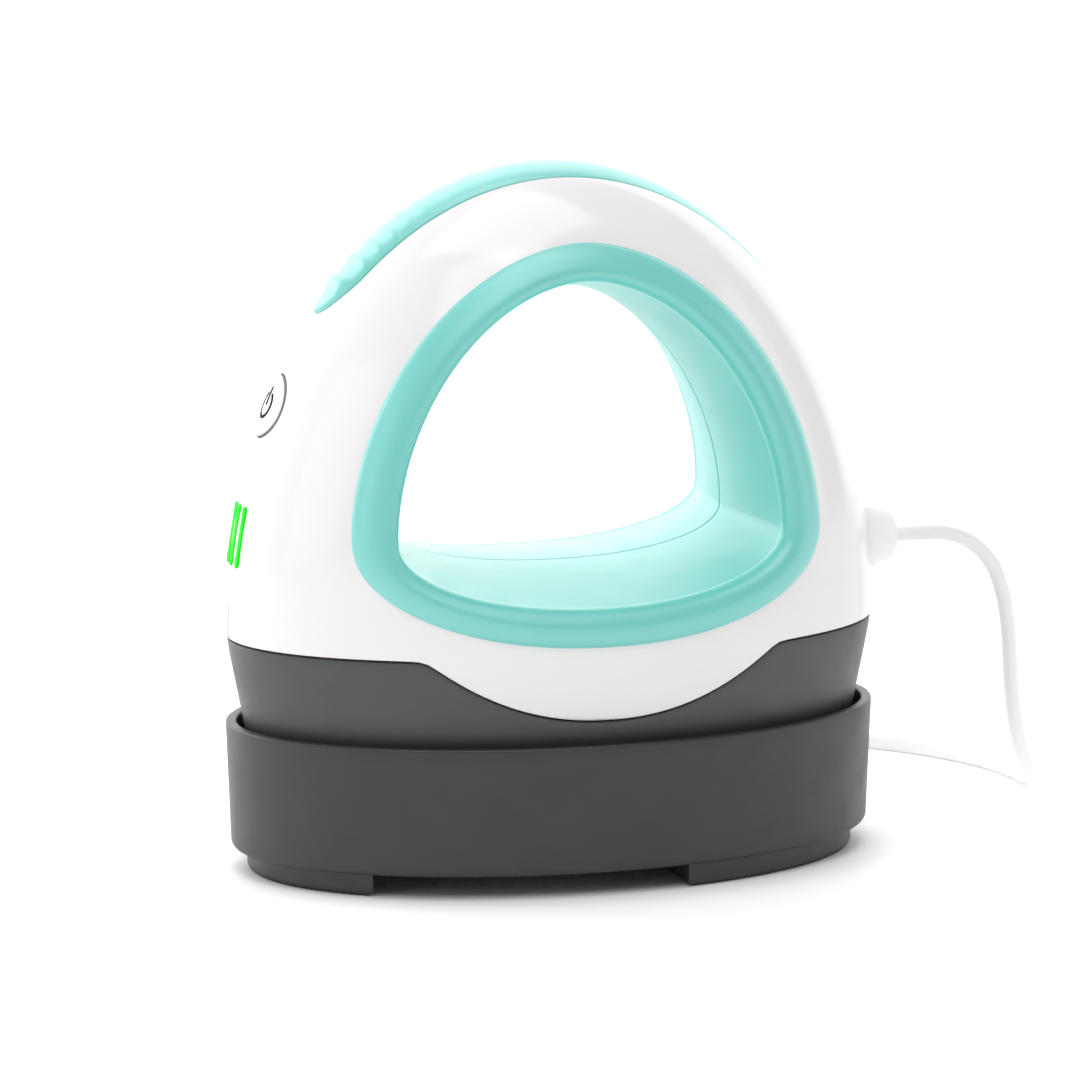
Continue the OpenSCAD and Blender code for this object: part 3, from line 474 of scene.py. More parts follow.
PATH_STEPS = 8
free_path = spline([(RELIEF_TIP + x, y, CORD_R + h / EXIT_DROP * (EXIT_Z - CORD_R))
                    for x, y, h in CORD_ROUTE], PATH_STEPS)
free_end = free_path[-1]
coil_path = np.array(coil_points((free_end[0] - CORD_D, free_end[1] - COIL_OUT)))
tail_start = coil_path[-1] + [CORD_D, 0, 0]
coil_top = coil_path[-1][2]
tail_path = spline([(tail_start[0] + x, tail_start[1] + y, mix(coil_top, PLUG_MID_Z, f))
                    for x, y, f in TAIL_ROUTE], PATH_STEPS)
inside_boot = [(RELIEF_TIP - d, 0, EXIT_Z) for d in (8.0, 6.0, 4.0, 2.0)]
cord_path = np.concatenate([inside_boot, free_path, coil_path, tail_path])


def tube(path, r, sides):
    """Loops round a path; the side vector stays level, so the tube never twists."""
    p = np.asarray(path)
    t = np.gradient(p, axis=0)
    t /= np.linalg.norm(t, axis=1)[:, None]
    s = np.stack([-t[:, 1], t[:, 0], np.zeros(len(t))], 1)
    s /= np.linalg.norm(s, axis=1)[:, None]
    u = np.cross(t, s)
    a = np.linspace(0, 2 * math.pi, sides, endpoint=False)
    return p[:, None] + r * (np.cos(a)[None, :, None] * s[:, None] + np.sin(a)[None, :, None] * u[:, None])


cord = make_object("mains_cord_lead", *stack_mesh(tube(cord_path, CORD_R - 0.02, 20)), "press", "cord_white",
                   CORD_WHITE)
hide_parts("mains_cord", "cord_coil", "cord_tail")

# Plug: neck with bend rings and a soft-cornered body
PLUG_LO, PLUG_HI = corners("plug_body")
plug_mid = (PLUG_LO + PLUG_HI) / 2
PLUG_EDGE = 3.0


def rounded_rect(half_a, half_b, r, x, y, z, steps=12):
    """Rounded rectangle across +X at x: half_a in Z, half_b in Y."""
    out = []
    for sa, sb, start in ((1, 1, 0), (-1, 1, 90), (-1, -1, 180), (1, -1, 270)):
        for k in range(steps + 1):
            a = math.radians(start + 90 * k / steps)
            out.append((x, y + sb * (half_b - r) + r * math.sin(a), z + sa * (half_a - r) + r * math.cos(a)))
    return out


NECK_R = 3.0
NECK_RINGS = 9
NECK_PITCH = 0.55
NECK_GROOVE = 0.35
PLUG_HALF_Z = (PLUG_HI[2] - PLUG_LO[2]) / 2
PLUG_HALF_Y = (PLUG_HI[1] - PLUG_LO[1]) / 2
# The moulded body as (distance from its start, inset): soft ends and two grip grooves
PLUG_BODY = [(0.0, 1.6), (0.25, 0.9), (0.7, 0.35), (1.3, 0.1), (2.0, 0.0), (9.0, 0.0), (9.4, 0.35),
             (10.0, 0.35), (10.4, 0.0), (13.0, 0.0), (13.4, 0.35), (14.0, 0.35), (14.4, 0.0), (22.6, 0.0),
             (23.4, 0.25), (23.8, 0.6), (24.0, 1.2)]
plug_sections = []
for k in range(NECK_RINGS):
    ring = NECK_R - (NECK_GROOVE if k % 2 else 0.0) + 0.1 * k
    neck_x = PLUG_LO[0] + 0.3 + NECK_PITCH * k
    plug_sections.append(rounded_rect(ring, ring, ring * 0.98, neck_x, plug_mid[1], plug_mid[2]))
body_start = PLUG_LO[0] + 5.0
for f, inset in PLUG_BODY:
    plug_sections.append(rounded_rect(PLUG_HALF_Z - inset, PLUG_HALF_Y - inset,
                                      PLUG_EDGE - min(inset, 1.5) * 0.6,
                                      body_start + f, plug_mid[1], plug_mid[2]))
plug = make_object("plug_moulding", *stack_mesh(plug_sections), "press", "plug_white", PLUG_WHITE)
sharp_by_angle(plug, 40)
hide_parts("plug_body")

# ---- top cap ----
CAP_THIN, CAP_THICK = 0.06, 0.9
CAP_THIN_AT, CAP_THICK_AT = 77.0, 112.0
CAP_FRONT = 127.0
CAP_REAR = 52.0
# Half width of the cap against its angle about the dome's centre, from its front to its rear
CAP_WIDTH = [(CAP_FRONT, 0.0), (126.2, 2.2), (124.8, 3.9), (122.6, 5.6), (120.0, 6.7), (116.0, 7.1),
             (110.0, 7.5), (103.0, 7.9), (95.0, 8.3), (86.0, 8.5), (78.0, 8.2), (70.0, 7.6), (62.0, 6.6),
             (57.0, 5.4), (54.0, 3.8), (52.5, 2.2), (CAP_REAR, 0.0)]
RIB_PEAKS = (118.1, 115.4, 112.9, 110.3, 107.8)
RIB_H, RIB_HALF = 0.42, 1.1
STOP_AT, STOP_H, STOP_HALF = 122.2, 0.75, 2.2
CAP_CURVE = spline(CAP_WIDTH, 6)
CAP_STEPS = 420
CAP_ACROSS = 30
CAP_GAP = 0.22
CAP_POCKET = 1.2
NEAREST, FARTHEST, HALVINGS = 20.0, 120.0, 30


def reach(al, y, off):
    """Distance from the dome's centre to the surface in direction al, at the given y's, by halving."""
    lo, hi = np.full(np.shape(y), NEAREST), np.full(np.shape(y), FARTHEST)
    for _ in range(HALVINGS):
        mid = (lo + hi) / 2
        x, z = mid * np.cos(al), SEAM_Z + mid * np.sin(al)
        out = (z >= SEAM_Z + DOME_H + off) | (side_y(x, z, off) <= np.abs(y))
        hi = np.where(out, mid, hi)
        lo = np.where(out, lo, mid)
    return (lo + hi) / 2


def bump(deg, at, half):
    """Rounded bump with its peak at an angle, steeper on its rear side."""
    g = (deg - at) / (half * (1.0 if deg > at else 0.75))
    return (0.5 + 0.5 * math.cos(math.pi * g)) if abs(g) < 1 else 0.0


def cap_relief(deg):
    """Height of the thumb ribs and of the stop in front of them."""
    ribs = sum(RIB_H * (1 - 0.12 * k) * bump(deg, at, RIB_HALF) for k, at in enumerate(RIB_PEAKS))
    return ribs + STOP_H * bump(deg, STOP_AT, STOP_HALF)


def cap_height(deg):
    f = min(1.0, max(0.0, (deg - CAP_THIN_AT) / (CAP_THICK_AT - CAP_THIN_AT)))
    return mix(CAP_THIN, CAP_THICK, f * f * (3 - 2 * f))


def cap_angles(grow):
    """Angles along the cap, closer together at its two ends."""
    lo, hi = CAP_REAR - grow, CAP_FRONT + grow
    return [hi - (hi - lo) * 0.5 * (1 - math.cos(math.pi * j / CAP_STEPS)) for j in range(1, CAP_STEPS)]


def cap_half_width(deg):
    return float(np.interp(deg, CAP_CURVE[::-1, 0], CAP_CURVE[::-1, 1]))


def cap_loops(grow=0.0, top=None, under=-0.6):
    """Sections across the cap; a grown one with a flat top cuts the pocket that the cap sits in."""
    loops = []
    turn = math.degrees(grow / HALF_L)
    for deg in cap_angles(turn):
        al = math.radians(deg)
        share = min(max(deg, CAP_REAR + 0.02), CAP_FRONT - 0.02)
        w = max(cap_half_width(share), 0.04) + grow
        s = np.sin(np.radians(np.linspace(-90, 90, CAP_ACROSS + 1)))
        if top is None:
            rise = (1 - np.abs(s) ** 6) ** 0.6
            high = cap_height(deg) * rise + cap_relief(deg) * np.maximum(0, 1 - s**4)
            high = np.where(np.abs(s) > 0.9999, -0.1, high)
        else:
            high = np.full(s.shape, top)
        r = reach(al, s * w, 0.0) + high
        over = np.stack([r * math.cos(al), s * w, SEAM_Z + r * math.sin(al)], 1)
        s = np.linspace(1, -1, 9)
        r = reach(al, s * w, 0.0) + under
        below = np.stack([r * math.cos(al), s * w, SEAM_Z + r * math.sin(al)], 1)
        loops.append(np.concatenate([over, below]))
    return loops


cap = make_object("top_grip_cap", *stack_mesh(cap_loops()), "press", "cap_teal", TEAL_CAP_PAINTED_SHEEN)
sharp_by_angle(cap, 50)
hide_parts("top_cap")

# ---- housing halves ----
ARC_STEPS = 150
BASE_STEPS = 110
CORNER_T = -35.0
ROW_EASE = [math.sin(math.radians(90 * k / 44)) for k in range(45)]
SEAM_EDGE_R = 0.3
PART_EDGE_R = 0.05
LINER_FIT = 0.15
HALF_GAP = 0.015


def edge_at(i, off):
    """Point i of the half's outer edge in the side view, and the matching angle of the opening."""
    if i <= ARC_STEPS:
        q = math.radians(180 * i / ARC_STEPS)
        return ((HALF_L + off) * math.cos(q), SEAM_Z + (DOME_H + off) * math.sin(q),
                mix(CORNER_T, 180 - CORNER_T, i / ARC_STEPS))
    f = (i - ARC_STEPS) / BASE_STEPS
    x = -(HALF_L + off) * math.cos(math.pi * f)
    return x, float(seam_at(x)), mix(180 - CORNER_T, 360 + CORNER_T, f)


def housing_half(name, node, side):
    """Shell between the liner's seat and the half's outer edge, closed round the opening."""
    verts = []
    for i in range(ARC_STEPS + BASE_STEPS):
        ex, ez, t = edge_at(i, 0)
        ix, iz, _ = edge_at(i, -WALL)
        lx, lz = lip(t, LINER_T + LINER_FIT)
        sec = []
        for f in ROW_EASE:
            x, z = mix(lx, ex, f), mix(lz, ez, f)
            sec.append((x, float(side_y(x, z)), z))
        # a small radius round the outer edge
        last = np.array(sec[-1])
        prev = np.array(sec[-4])
        run = (last - prev) / np.linalg.norm(last - prev)
        nrm = body_normal(last[None])[0] if i > ARC_STEPS else body_normal(np.array([sec[-2]]))[0]
        r = SEAM_EDGE_R if i > ARC_STEPS else PART_EDGE_R
        sec[-1] = tuple(last - run * r)
        for a in (22.5, 45, 67.5, 90):
            c, s = math.cos(math.radians(a)), math.sin(math.radians(a))
            sec.append(tuple(last - run * r + run * r * s - nrm * r * (1 - c)))
        for f in ROW_EASE[::-4]:
            x, z = mix(lx, ix, f), mix(lz, iz, f)
            sec.append((x, float(side_y(x, z, -WALL)), z))
        verts.append(sec)
    v = np.array(verts)
    v[:, :, 1] = np.maximum(v[:, :, 1], HALF_GAP)
    v[:, :, 1] *= side
    obj = make_object(name, *ring_mesh(v), "press", "housing_white", WHITE)
    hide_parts(node)
    return obj


def nose_tilt(z):
    f = (z - SEAM_Z) / DOME_H
    return math.atan(HALF_L / DOME_H * f / math.sqrt(1 - f * f))


def nose_frame(z):
    """Frame on the nose at height z: local +Z out of the body, local +X up along it."""
    tilt = nose_tilt(z)
    x = -HALF_L * math.sqrt(1 - ((z - SEAM_Z) / DOME_H) ** 2)
    return Matrix.Translation((x, 0, z)) @ Matrix.Rotation(tilt - math.pi / 2, 4, "Y")


def place(points, matrix):
    return np.array([matrix @ Vector(p) for p in np.asarray(points).reshape(-1, 3)])


BUTTON_D = 12.0
BUTTON_Z = 87.4
BAR_Z = 63.7
BAR_W = 1.8
BAR_L = 11.4
BAR_PITCH = 3.2
RUN_GAP = 0.3


def pill(half, w, z, steps=16):
    out = []
    for s, start in ((1, -90), (-1, 90)):
        for k in range(steps + 1):
            a = math.radians(start + 180 * k / steps)
            out.append((s * half + w / 2 * math.cos(a), w / 2 * math.sin(a), z))
    return out


def cutter(name, loops, matrix):
    v, f = stack_mesh(loops)
    return make_object(name, place(v, matrix), f, None, None)


def bar_frame(k):
    y = k * BAR_PITCH
    lean = HALF_L * math.sqrt(1 - ((BAR_Z - SEAM_Z) / DOME_H) ** 2) * (1 - math.sqrt(1 - (y / HALF_W) ** 2))
    return Matrix.Translation((lean, y, 0)) @ nose_frame(BAR_Z)


BAR_FIT = 0.2
RELIEF_FIT = 0.05
BORE_R = BUTTON_D / 2 + RUN_GAP
SLOT_W = BAR_W + BAR_FIT
BAR_HALF = (BAR_L - BAR_W) / 2
TAIL_M = Matrix.Translation((0, 0, EXIT_Z)) @ Matrix.Rotation(math.pi / 2, 4, "Y")
cuts = [cutter("cut_button", lathe([(BORE_R, -8), (BORE_R, 8)]), nose_frame(BUTTON_Z))]
for k in (-1, 0, 1):
    cuts.append(cutter("cut_bar", [pill(BAR_HALF, SLOT_W, -8), pill(BAR_HALF, SLOT_W, 6)], bar_frame(k)))
cuts.append(cutter("cut_cap", cap_loops(grow=CAP_GAP, top=4.0, under=-CAP_POCKET), Matrix.Identity(4)))
cuts.append(cutter("cut_relief", lathe([(RELIEF_R + RELIEF_FIT, 40), (RELIEF_R + RELIEF_FIT, 80)]), TAIL_M))


def cut_with(obj, tools):
    for tool in tools:
        mod = obj.modifiers.new("cut", "BOOLEAN")
        mod.operation = "DIFFERENCE"
        mod.solver = "MANIFOLD"
        mod.object = tool
    dg = bpy.context.evaluated_depsgraph_get()
    mesh = bpy.data.meshes.new_from_object(obj.evaluated_get(dg))
    obj.modifiers.clear()
    old = obj.data
    obj.data = mesh
    bpy.data.meshes.remove(old)


def surface_normals(obj, tolerance=0.012):
    """Exact normals on the faces that lie on the body's surface; the others keep their own."""
    mesh = obj.data
    co = np.empty(len(mesh.vertices) * 3, np.float32)
    mesh.vertices.foreach_get("co", co)
    co = co.reshape(-1, 3).astype(float) / MM
    a, b = half_length(co[:, 2]), half_width(co[:, 2])
    q = np.sqrt((co[:, 0] / a) ** 2 + (co[:, 1] / b) ** 2)
    on = np.abs(q - 1) * np.minimum(a, b) < tolerance
    on |= (np.abs(q - 1) * np.minimum(a, b) < 0.2) & (np.abs(co[:, 1]) < 0.5)
    nrm = body_normal(co)
    mesh.polygons.foreach_set("use_smooth", [True] * len(mesh.polygons))
    out = np.zeros((len(mesh.loops), 3))
    for poly in mesh.polygons:
        ids = list(poly.vertices)
        if all(on[i] for i in ids):
            fn = np.array(poly.normal)
            if (nrm[ids] @ fn).min() > 0.9:
                for li, vi in zip(poly.loop_indices, ids):
                    out[li] = nrm[vi]
    mesh.set_sharp_from_angle(angle=math.radians(35))
    mesh.normals_split_custom_set([tuple(n) for n in out])


housing_near = housing_half("housing_near_half", "housing_left", -1)
housing_far = housing_half("housing_far_half", "housing_right", 1)
for half in (housing_near, housing_far):
    cut_with(half, cuts)
    surface_normals(half)
for tool in cuts:
    bpy.data.objects.remove(tool)

# ---- grip liner halves: a full bead outside, a crowned wall inside ----
# Bead section as (distance out from the lip, height above the body): a half round whose inner
# side runs deeper, then a small step down to the wall
BEAD_MID = BEZEL_W / 2
BEAD_H = 1.55
BEAD_FOOT = 0.12
BEAD_DEEP = 2.7
STEP_NEAR, STEP_FAR = 0.2, 0.06
BEAD = [(BEAD_MID + BEAD_MID * math.cos(a), -BEAD_FOOT + (BEAD_H + BEAD_FOOT) * math.sin(a))
        for a in np.radians(np.linspace(0, 84, 13))]
BEAD += [(BEAD_MID - BEAD_MID * math.sin(a), BEAD_H - (BEAD_H + BEAD_DEEP) * (1 - math.cos(a)))
         for a in np.radians(np.linspace(0, 90, 19))]
# The step's rounded edge as (share of the step, depth below the bead)
STEP_EDGE = ((0.2, 0.16), (0.6, 0.28), (1.0, 0.36))
LINER_STEPS = 360
PART_GAP = 0.13
PART_R = 0.16
WALL_H = np.linspace(0, 1, 26)


def liner_half(name, node, side, step):
    """Bead, step and crowned wall down to the parting line, then back behind the wall."""
    bead = BEAD + [(share * step, -BEAD_DEEP - down) for share, down in STEP_EDGE]
    secs = []
    for i in range(LINER_STEPS):
        t = 360 * i / LINER_STEPS
        sec = []
        for u, d in bead:
            x, z = lip(t, u)
            sec.append((float(x), float(side_y(x, z, d)), float(z)))
        start = sec[-1]
        for h in WALL_H[1:]:
            x, z = lip(t, step - (CROWN + step) * math.sin(math.radians(90 * h)))
            y = mix(start[1], PART_GAP + PART_R, h)
            sec.append((float(x), y, float(z)))
        for a in (30, 60, 90):
            s, c = math.sin(math.radians(a)), math.cos(math.radians(a))
            px, pz = lip(t, -CROWN + PART_R * (1 - c))
            sec.append((float(px), PART_GAP + PART_R * (1 - s), float(pz)))
        for out, y in ((LINER_T - CROWN, PART_GAP), (LINER_T, 12)):
            px, pz = lip(t, out)
            sec.append((float(px), y, float(pz)))
        for u, d in ((LINER_T, -3.0), (LINER_T, -0.1)):
            px, pz = lip(t, u)
            sec.append((float(px), float(side_y(px, pz, d)), float(pz)))
        secs.append(sec)
    v = np.array(secs)
    v[:, :, 1] *= side
    obj = make_object(name, *ring_mesh(v), "press", "grip_teal", TEAL)
    sharp_by_angle(obj, 34)
    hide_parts(node)


liner_half("liner_near_half", "liner_left", -1, STEP_NEAR)
liner_half("liner_far_half", "liner_right", 1, STEP_FAR)

# ---- power button ----
button_m = nose_frame(BUTTON_Z)
BUTTON_R = BUTTON_D / 2
SKIRT_TOP = 0.3
BUTTON_TOP = 0.5
BULGE_H = 0.14
NOSE_R = float(half_width(BUTTON_Z)) ** 2 / float(half_length(BUTTON_Z))


def follow_nose(verts):
    """Bend what stands above the nose sideways, so that the button follows its curve."""
    return [(x, y, z - y * y / (2 * NOSE_R) if z > 0 else z) for x, y, z in verts]


def button_piece(name, profile, material):
    verts, faces = stack_mesh(lathe(profile))
    obj = make_object(name, place(follow_nose(verts), button_m), faces, "button", "button_white", material)
    sharp_by_angle(obj, 40)
    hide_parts("power_button")


# The side, painted grey as shade for the gap round the button, with the stem below it, then the white face
# with its rounded edge
skirt_profile = [(0, -4.4), (2, -4.4), (2, -3.2), (BUTTON_R, -3.2), (BUTTON_R, SKIRT_TOP), (0, SKIRT_TOP)]
cap_profile = [(0, SKIRT_TOP), (BUTTON_R, SKIRT_TOP)]
edge_r = BUTTON_TOP - SKIRT_TOP
for a in range(0, 91, 15):
    c, s = math.cos(math.radians(a)), math.sin(math.radians(a))
    cap_profile.append((BUTTON_R - edge_r * (1 - c), SKIRT_TOP + edge_r * s))
for r in (5.2, 4.6, 3.8, 2.8, 1.8, 0.9, 0):
    cap_profile.append((r, BUTTON_TOP + BULGE_H * (1 - (r / BUTTON_R) ** 2)))
button_piece("power_button_skirt", skirt_profile, SKIRT_SHADE_GREY)
button_piece("power_button_cap", cap_profile, BUTTON_WHITE)

# Power mark: an open ring and a bar, raised a little from the button
MARK_R = 2.45
MARK_W = 0.66
MARK_UP = 0.1
MARK_DEEP = 0.1
END_POINTS = 6


def mark_height(x, y):
    return BUTTON_TOP + BULGE_H * (1 - (x * x + y * y) / BUTTON_R**2)


def stroke_outline(points, w):
    """Closed outline of a stroke of width w along points, with round ends."""
    p = np.array(points, float)
    t = np.gradient(p, axis=0)
    t /= np.linalg.norm(t, axis=1)[:, None]
    n = np.stack([-t[:, 1], t[:, 0]], 1)
    turn = np.linspace(0.3, math.pi - 0.3, END_POINTS)
    last = [p[-1] + w / 2 * (math.cos(a) * n[-1] + math.sin(a) * t[-1]) for a in turn]
    first = [p[0] - w / 2 * (math.cos(a) * n[0] + math.sin(a) * t[0]) for a in turn]
    return list(p + n * w / 2), last, list(p - n * w / 2)[::-1], first


def mark_piece(name, strokes):
    """Raised strokes: the top follows the button's dome and the walls go down into it."""
    verts, faces = [], []
    for pts in strokes:
        left, last, right, first = stroke_outline(pts, MARK_W)
        rim = left + last + right + first
        base, n, m = len(verts), len(left), len(rim)
        verts += [(q[0], q[1], mark_height(q[0], q[1]) + MARK_UP) for q in rim]
        verts += [(q[0], q[1], mark_height(q[0], q[1]) - MARK_DEEP) for q in rim]
        opposite = [2 * n + END_POINTS - 1 - i for i in range(n)]
        for o in (base, base + m):
            faces += [[o + i, o + opposite[i], o + opposite[i + 1], o + i + 1] for i in range(n - 1)]
            faces.append([o + n - 1, o + opposite[n - 1]] + [o + n + k for k in reversed(range(END_POINTS))])
            faces.append([o + opposite[0], o] + [o + m - 1 - k for k in range(END_POINTS)])
        faces += [[base + i, base + (i + 1) % m, base + m + (i + 1) % m, base + m + i] for i in range(m)]
    make_object(name, place(follow_nose(verts), button_m), faces, "button", "button_white", MARK_GREY)


arc = [(MARK_R * math.cos(a), MARK_R * math.sin(a)) for a in np.radians(np.linspace(36, 324, 64))]
stroke = [(x, 0.0) for x in np.linspace(0.1, 3.2, 12)]
mark_piece("power_mark", [arc, stroke])

# ---- heat shroud ----
SHROUD_STEPS = 288
SHROUD_T = 2.2
shroud_secs = []
for i in range(SHROUD_STEPS):
    c, s = math.cos(2 * math.pi * i / SHROUD_STEPS), math.sin(2 * math.pi * i / SHROUD_STEPS)
    top = float(seam_at(float(half_length(seam_at(HALF_L * c))) * c)) - SEAM_GAP

    def at(z, off):
        return (float(half_length(z) + off) * c, float(half_width(z) + off) * s, z)

    low = SHROUD_LO[2]
    sec = [at(low + 0.3, -0.3), at(low, -0.6)][::-1]
    sec += [at(mix(low + 0.6, top - 0.35, k / 14), 0) for k in range(15)]
    sec += [at(top - 0.10, -0.10), at(top, -0.35), at(top, -2.5), at(top + 2.5, -2.6), at(top + 2.5, -3.7),
            at(top - 2, -3.7), at(top - 4, -SHROUD_T), at(low + 0.3, -SHROUD_T), at(low, -SHROUD_T + 0.3)]
    shroud_secs.append(sec)
shroud = make_object("heat_shroud_shell", *ring_mesh(shroud_secs), "press", "shroud_plastic", DARK)
sharp_by_angle(shroud, 50)
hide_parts("heat_shroud")

# ---- rest tray with its two feet ----
TRAY_A, TRAY_B = TRAY_HI[0], TRAY_HI[1]
TRAY_DRAFT = 0.8
TRAY_WALL = 2.0
FLOOR_T = 2.2
FOOT_Z = 4.2
PAD_T = PADS_HI[2]
RIM_R = 0.45
BOTTOM_R = 1.6
tray_loops = []


def tray_oval(inset, z):
    return oval(TRAY_A - inset, TRAY_B - inset, z, 288)


tray_loops.append(tray_oval(TRAY_DRAFT + BOTTOM_R + 1.0, FOOT_Z))
for a in range(0, 91, 15):
    c, s = math.cos(math.radians(a)), math.sin(math.radians(a))
    tray_loops.append(tray_oval(TRAY_DRAFT + BOTTOM_R * (1 - s), FOOT_Z + BOTTOM_R * (1 - c)))
for k in range(1, 8):
    f = k / 8
    tray_loops.append(tray_oval(TRAY_DRAFT * (1 - f), mix(FOOT_Z + BOTTOM_R, TRAY_Z - RIM_R, f)))
for a in range(0, 91, 18):
    c, s = math.cos(math.radians(a)), math.sin(math.radians(a))
    tray_loops.append(tray_oval(RIM_R * (1 - c), TRAY_Z - RIM_R * (1 - s)))
for a in range(0, 91, 18):
    c, s = math.cos(math.radians(a)), math.sin(math.radians(a))
    tray_loops.append(tray_oval(TRAY_WALL - RIM_R * (1 - s), TRAY_Z - RIM_R * (1 - c)))
tray_in_z = FOOT_Z + FLOOR_T
tray_loops.append(tray_oval(TRAY_WALL + TRAY_DRAFT, tray_in_z + 1.0))
tray_loops.append(tray_oval(TRAY_WALL + TRAY_DRAFT + 0.4, tray_in_z + 0.3))
tray_loops.append(tray_oval(TRAY_WALL + TRAY_DRAFT + 1.2, tray_in_z))
tray = make_object("rest_tray_shell", *stack_mesh(tray_loops), "tray", "tray_plastic", DARK_TRAY)
sharp_by_angle(tray, 40)
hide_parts("base_tray")

FOOT_INSET_L = 3.8
FOOT_INSET_W = 1.8
FOOT_BAND = 12.0
FRONT_FOOT_X = -41.0
REAR_FOOT_X = 16.5
FOOT_R = 1.3


def foot_outline(front, shrink):
    """Crescent in plan, drawn in by shrink, with rounded ends."""
    a, b = TRAY_A - FOOT_INSET_L - shrink, TRAY_B - FOOT_INSET_W - shrink
    edge = (FRONT_FOOT_X - shrink) if front else (REAR_FOOT_X + shrink)
    sign = -1 if front else 1
    top = math.acos(abs(edge) / a)
    ia, ib = TRAY_A - FOOT_INSET_L - FOOT_BAND + shrink, TRAY_B - FOOT_INSET_W - FOOT_BAND + shrink
    outer = [(sign * a * math.cos(q), b * math.sin(q)) for q in np.linspace(-top, top, 60)]
    if abs(edge) < ia:
        inner_top = math.acos(abs(edge) / ia)
        inner = [(sign * ia * math.cos(q), ib * math.sin(q)) for q in np.linspace(inner_top, -inner_top, 60)]
    else:
        inner = [(edge, b * math.sin(top) * f) for f in np.linspace(0.98, -0.98, 60)]
    return outer + inner


def foot_shrink(z):
    """How far the foot's rounded lower edge draws in at height z."""
    up = min(max((FOOT_R - z) / FOOT_R, 0.0), 1.0)
    return FOOT_R * (1 - math.sqrt(1 - up * up))


def foot_loops(front, heights):
    return [[(x, y, z) for x, y in foot_outline(front, foot_shrink(z))] for z in heights]


def foot_piece(name, front, heights, slot, material, node):
    obj = make_object(name, *stack_mesh(foot_loops(front, heights)), "tray", slot, material)
    sharp_by_angle(obj, 40)
    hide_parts(node)


# Heights of the sections: the foot down to its pad, then the pad down to the table
FOOT_HEIGHTS = (FOOT_Z + 0.9, FOOT_R, 1.15, 1.0, 0.85, 0.7, PAD_T)
PAD_HEIGHTS = (PAD_T, 0.45, 0.3, 0.18, 0.08, 0.02, 0.0)
foot_piece("front_foot", True, FOOT_HEIGHTS, "tray_plastic", DARK_TRAY, "base_tray")
foot_piece("rear_foot", False, FOOT_HEIGHTS, "tray_plastic", DARK_TRAY, "base_tray")
foot_piece("front_foot_pad", True, PAD_HEIGHTS, "foot_rubber", RUBBER, "foot_pads")
foot_piece("rear_foot_pad", False, PAD_HEIGHTS, "foot_rubber", RUBBER, "foot_pads")

# ---- strain relief: its end as (radius, distance past the body), with a dimple for the cord ----
RELIEF_END = [(6.45, 0.5), (6.1, 1.7), (5.7, 2.9), (5.35, 3.8), (5.05, 4.35), (4.6, 4.75), (4.0, 5.0),
              (3.2, 5.1), (2.0, 5.14), (1.55, 4.9), (0, 4.9)]
root = RELIEF_LO[0]
relief_profile = [(0, root), (RELIEF_R, root)]
relief_profile += [(RELIEF_R, x) for x in np.linspace(root + 2, HALF_L - 0.4, 8)]
relief_profile += [(r, HALF_L + past) for r, past in RELIEF_END]
v, f = stack_mesh(lathe(relief_profile))
relief = make_object("cord_relief", place(v, TAIL_M), f, "press", "relief_white", RELIEF_WHITE)
sharp_by_angle(relief, 40)
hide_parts("strain_relief")

# ---- floor and light ----
floor_mat, nodes, links, bsdf = new_material("floor_white")
tone = noise(nodes, links, 6, 2)
links.new(ramp(nodes, links, tone, [(0.3, (0.93, 0.93, 0.93)), (0.7, (0.95, 0.95, 0.95))]),
          bsdf.inputs["Base Color"])
bsdf.inputs["Roughness"].default_value = 0.6
bsdf.inputs["Specular IOR Level"].default_value = 0.1
# A faint glow lifts the floor to white. The glow is left out in an oval under the press, which paints a
# darker footprint there as painted contact shadow.
PAINTED_SHADOW_SCALE = 1.5
coord = nodes.new("ShaderNodeTexCoord")
shadow_oval = nodes.new("ShaderNodeMapping")
shadow_half_x, shadow_half_y = PAINTED_SHADOW_SCALE * HALF_L * MM, PAINTED_SHADOW_SCALE * HALF_W * MM
shadow_oval.inputs["Scale"].default_value = (1 / shadow_half_x, 1 / shadow_half_y, 1)
falloff = nodes.new("ShaderNodeTexGradient")
falloff.gradient_type = "SPHERICAL"
links.new(coord.outputs["Object"], shadow_oval.inputs["Vector"])
links.new(shadow_oval.outputs["Vector"], falloff.inputs["Vector"])
# The ramp turns the glow off inside the oval: painted shadow under the press
links.new(ramp(nodes, links, falloff.outputs["Fac"], [(0.2, (1, 1, 1)), (0.4, (0, 0, 0))]),
          bsdf.inputs["Emission Color"])
bsdf.inputs["Emission Strength"].default_value = 0.22


def stage_plane(name, points, mat):
    """Floor or backdrop from its four corners, in metres."""
    mesh = bpy.data.meshes.new(name)
    mesh.from_pydata(points, [], [(0, 1, 2, 3)])
    obj = bpy.data.objects.new(name, mesh)
    bpy.context.scene.collection.objects.link(obj)
    mesh.materials.append(mat)


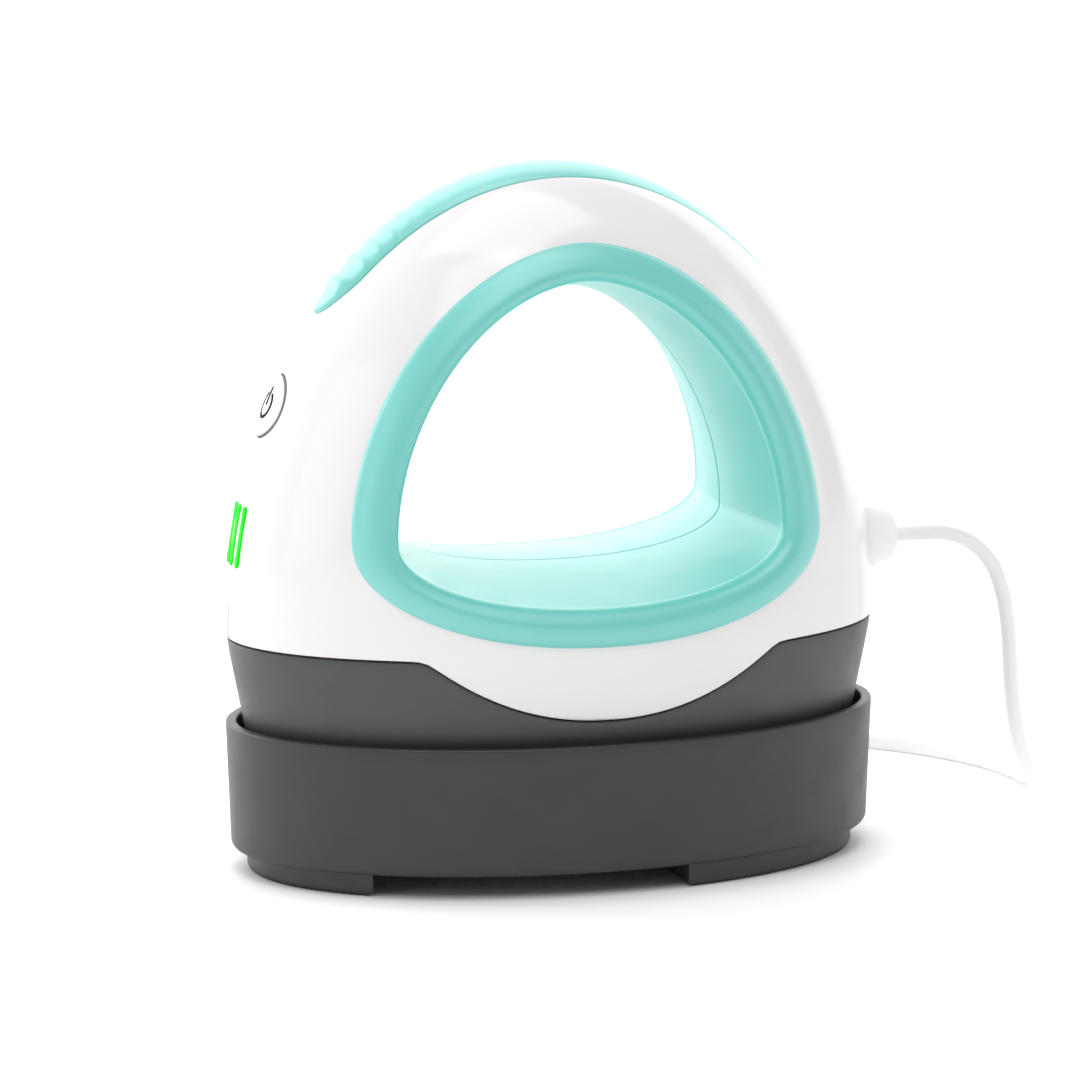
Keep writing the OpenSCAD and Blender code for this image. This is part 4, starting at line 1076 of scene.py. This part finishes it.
STAGE_W, STAGE_FRONT, STAGE_BACK, STAGE_TOP = 1.8, -2.4, 0.62, 1.1
stage_plane("floor", [(-STAGE_W, STAGE_FRONT, 0), (STAGE_W, STAGE_FRONT, 0), (STAGE_W, STAGE_BACK, 0),
                      (-STAGE_W, STAGE_BACK, 0)], floor_mat)
backdrop_mat, nodes, links, bsdf = new_material("backdrop_lit")
bsdf.inputs["Base Color"].default_value = (0.9, 0.9, 0.9, 1)
bsdf.inputs["Emission Color"].default_value = (1, 1, 1, 1)
bsdf.inputs["Emission Strength"].default_value = 1.3
# The backdrop is clear from behind, so that the back of the press can be looked at
facing = nodes.new("ShaderNodeNewGeometry")
clear = nodes.new("ShaderNodeBsdfTransparent")
one_sided = nodes.new("ShaderNodeMixShader")
links.new(facing.outputs["Backfacing"], one_sided.inputs["Fac"])
links.new(bsdf.outputs["BSDF"], one_sided.inputs[1])
links.new(clear.outputs["BSDF"], one_sided.inputs[2])
links.new(one_sided.outputs["Shader"], nodes["Material Output"].inputs["Surface"])
stage_plane("backdrop", [(-STAGE_W, STAGE_BACK, 0), (STAGE_W, STAGE_BACK, 0),
                         (STAGE_W, STAGE_BACK, STAGE_TOP), (-STAGE_W, STAGE_BACK, STAGE_TOP)], backdrop_mat)

world = bpy.data.worlds.new("studio")
bpy.context.scene.world = world
world.use_nodes = True
world.node_tree.nodes["Background"].inputs["Color"].default_value = (1, 1, 1, 1)
world.node_tree.nodes["Background"].inputs["Strength"].default_value = 0.27


LIGHT_AIM = Vector((0, 0, 0.06))


def softbox(name, size, place_at, radiance):
    """Rectangular softbox aimed at the press; its power follows from its size and radiance."""
    data = bpy.data.lights.new(name, "AREA")
    data.shape = "RECTANGLE"
    data.size, data.size_y = size
    data.energy = radiance * math.pi * size[0] * size[1]
    obj = bpy.data.objects.new(name, data)
    obj.location = place_at
    obj.rotation_mode = "QUATERNION"
    obj.rotation_quaternion = (LIGHT_AIM - Vector(place_at)).to_track_quat("-Z", "Y")
    bpy.context.scene.collection.objects.link(obj)


softbox("overhead", (0.7, 0.6), (-0.08, -0.05, 0.95), 2.5)
softbox("left_side", (0.55, 0.65), (-1.0, -0.3, 0.35), 1.15)
softbox("right_side", (0.5, 0.65), (1.0, -0.25, 0.35), 1.2)
softbox("front_top", (1.1, 0.7), (-0.25, -0.85, 1.2), 2.3)
softbox("back_left", (0.4, 0.5), (-0.6, 0.45, 0.3), 2.0)

bpy.context.scene.view_settings.view_transform = "Standard"
bpy.context.scene.view_settings.look = "None"
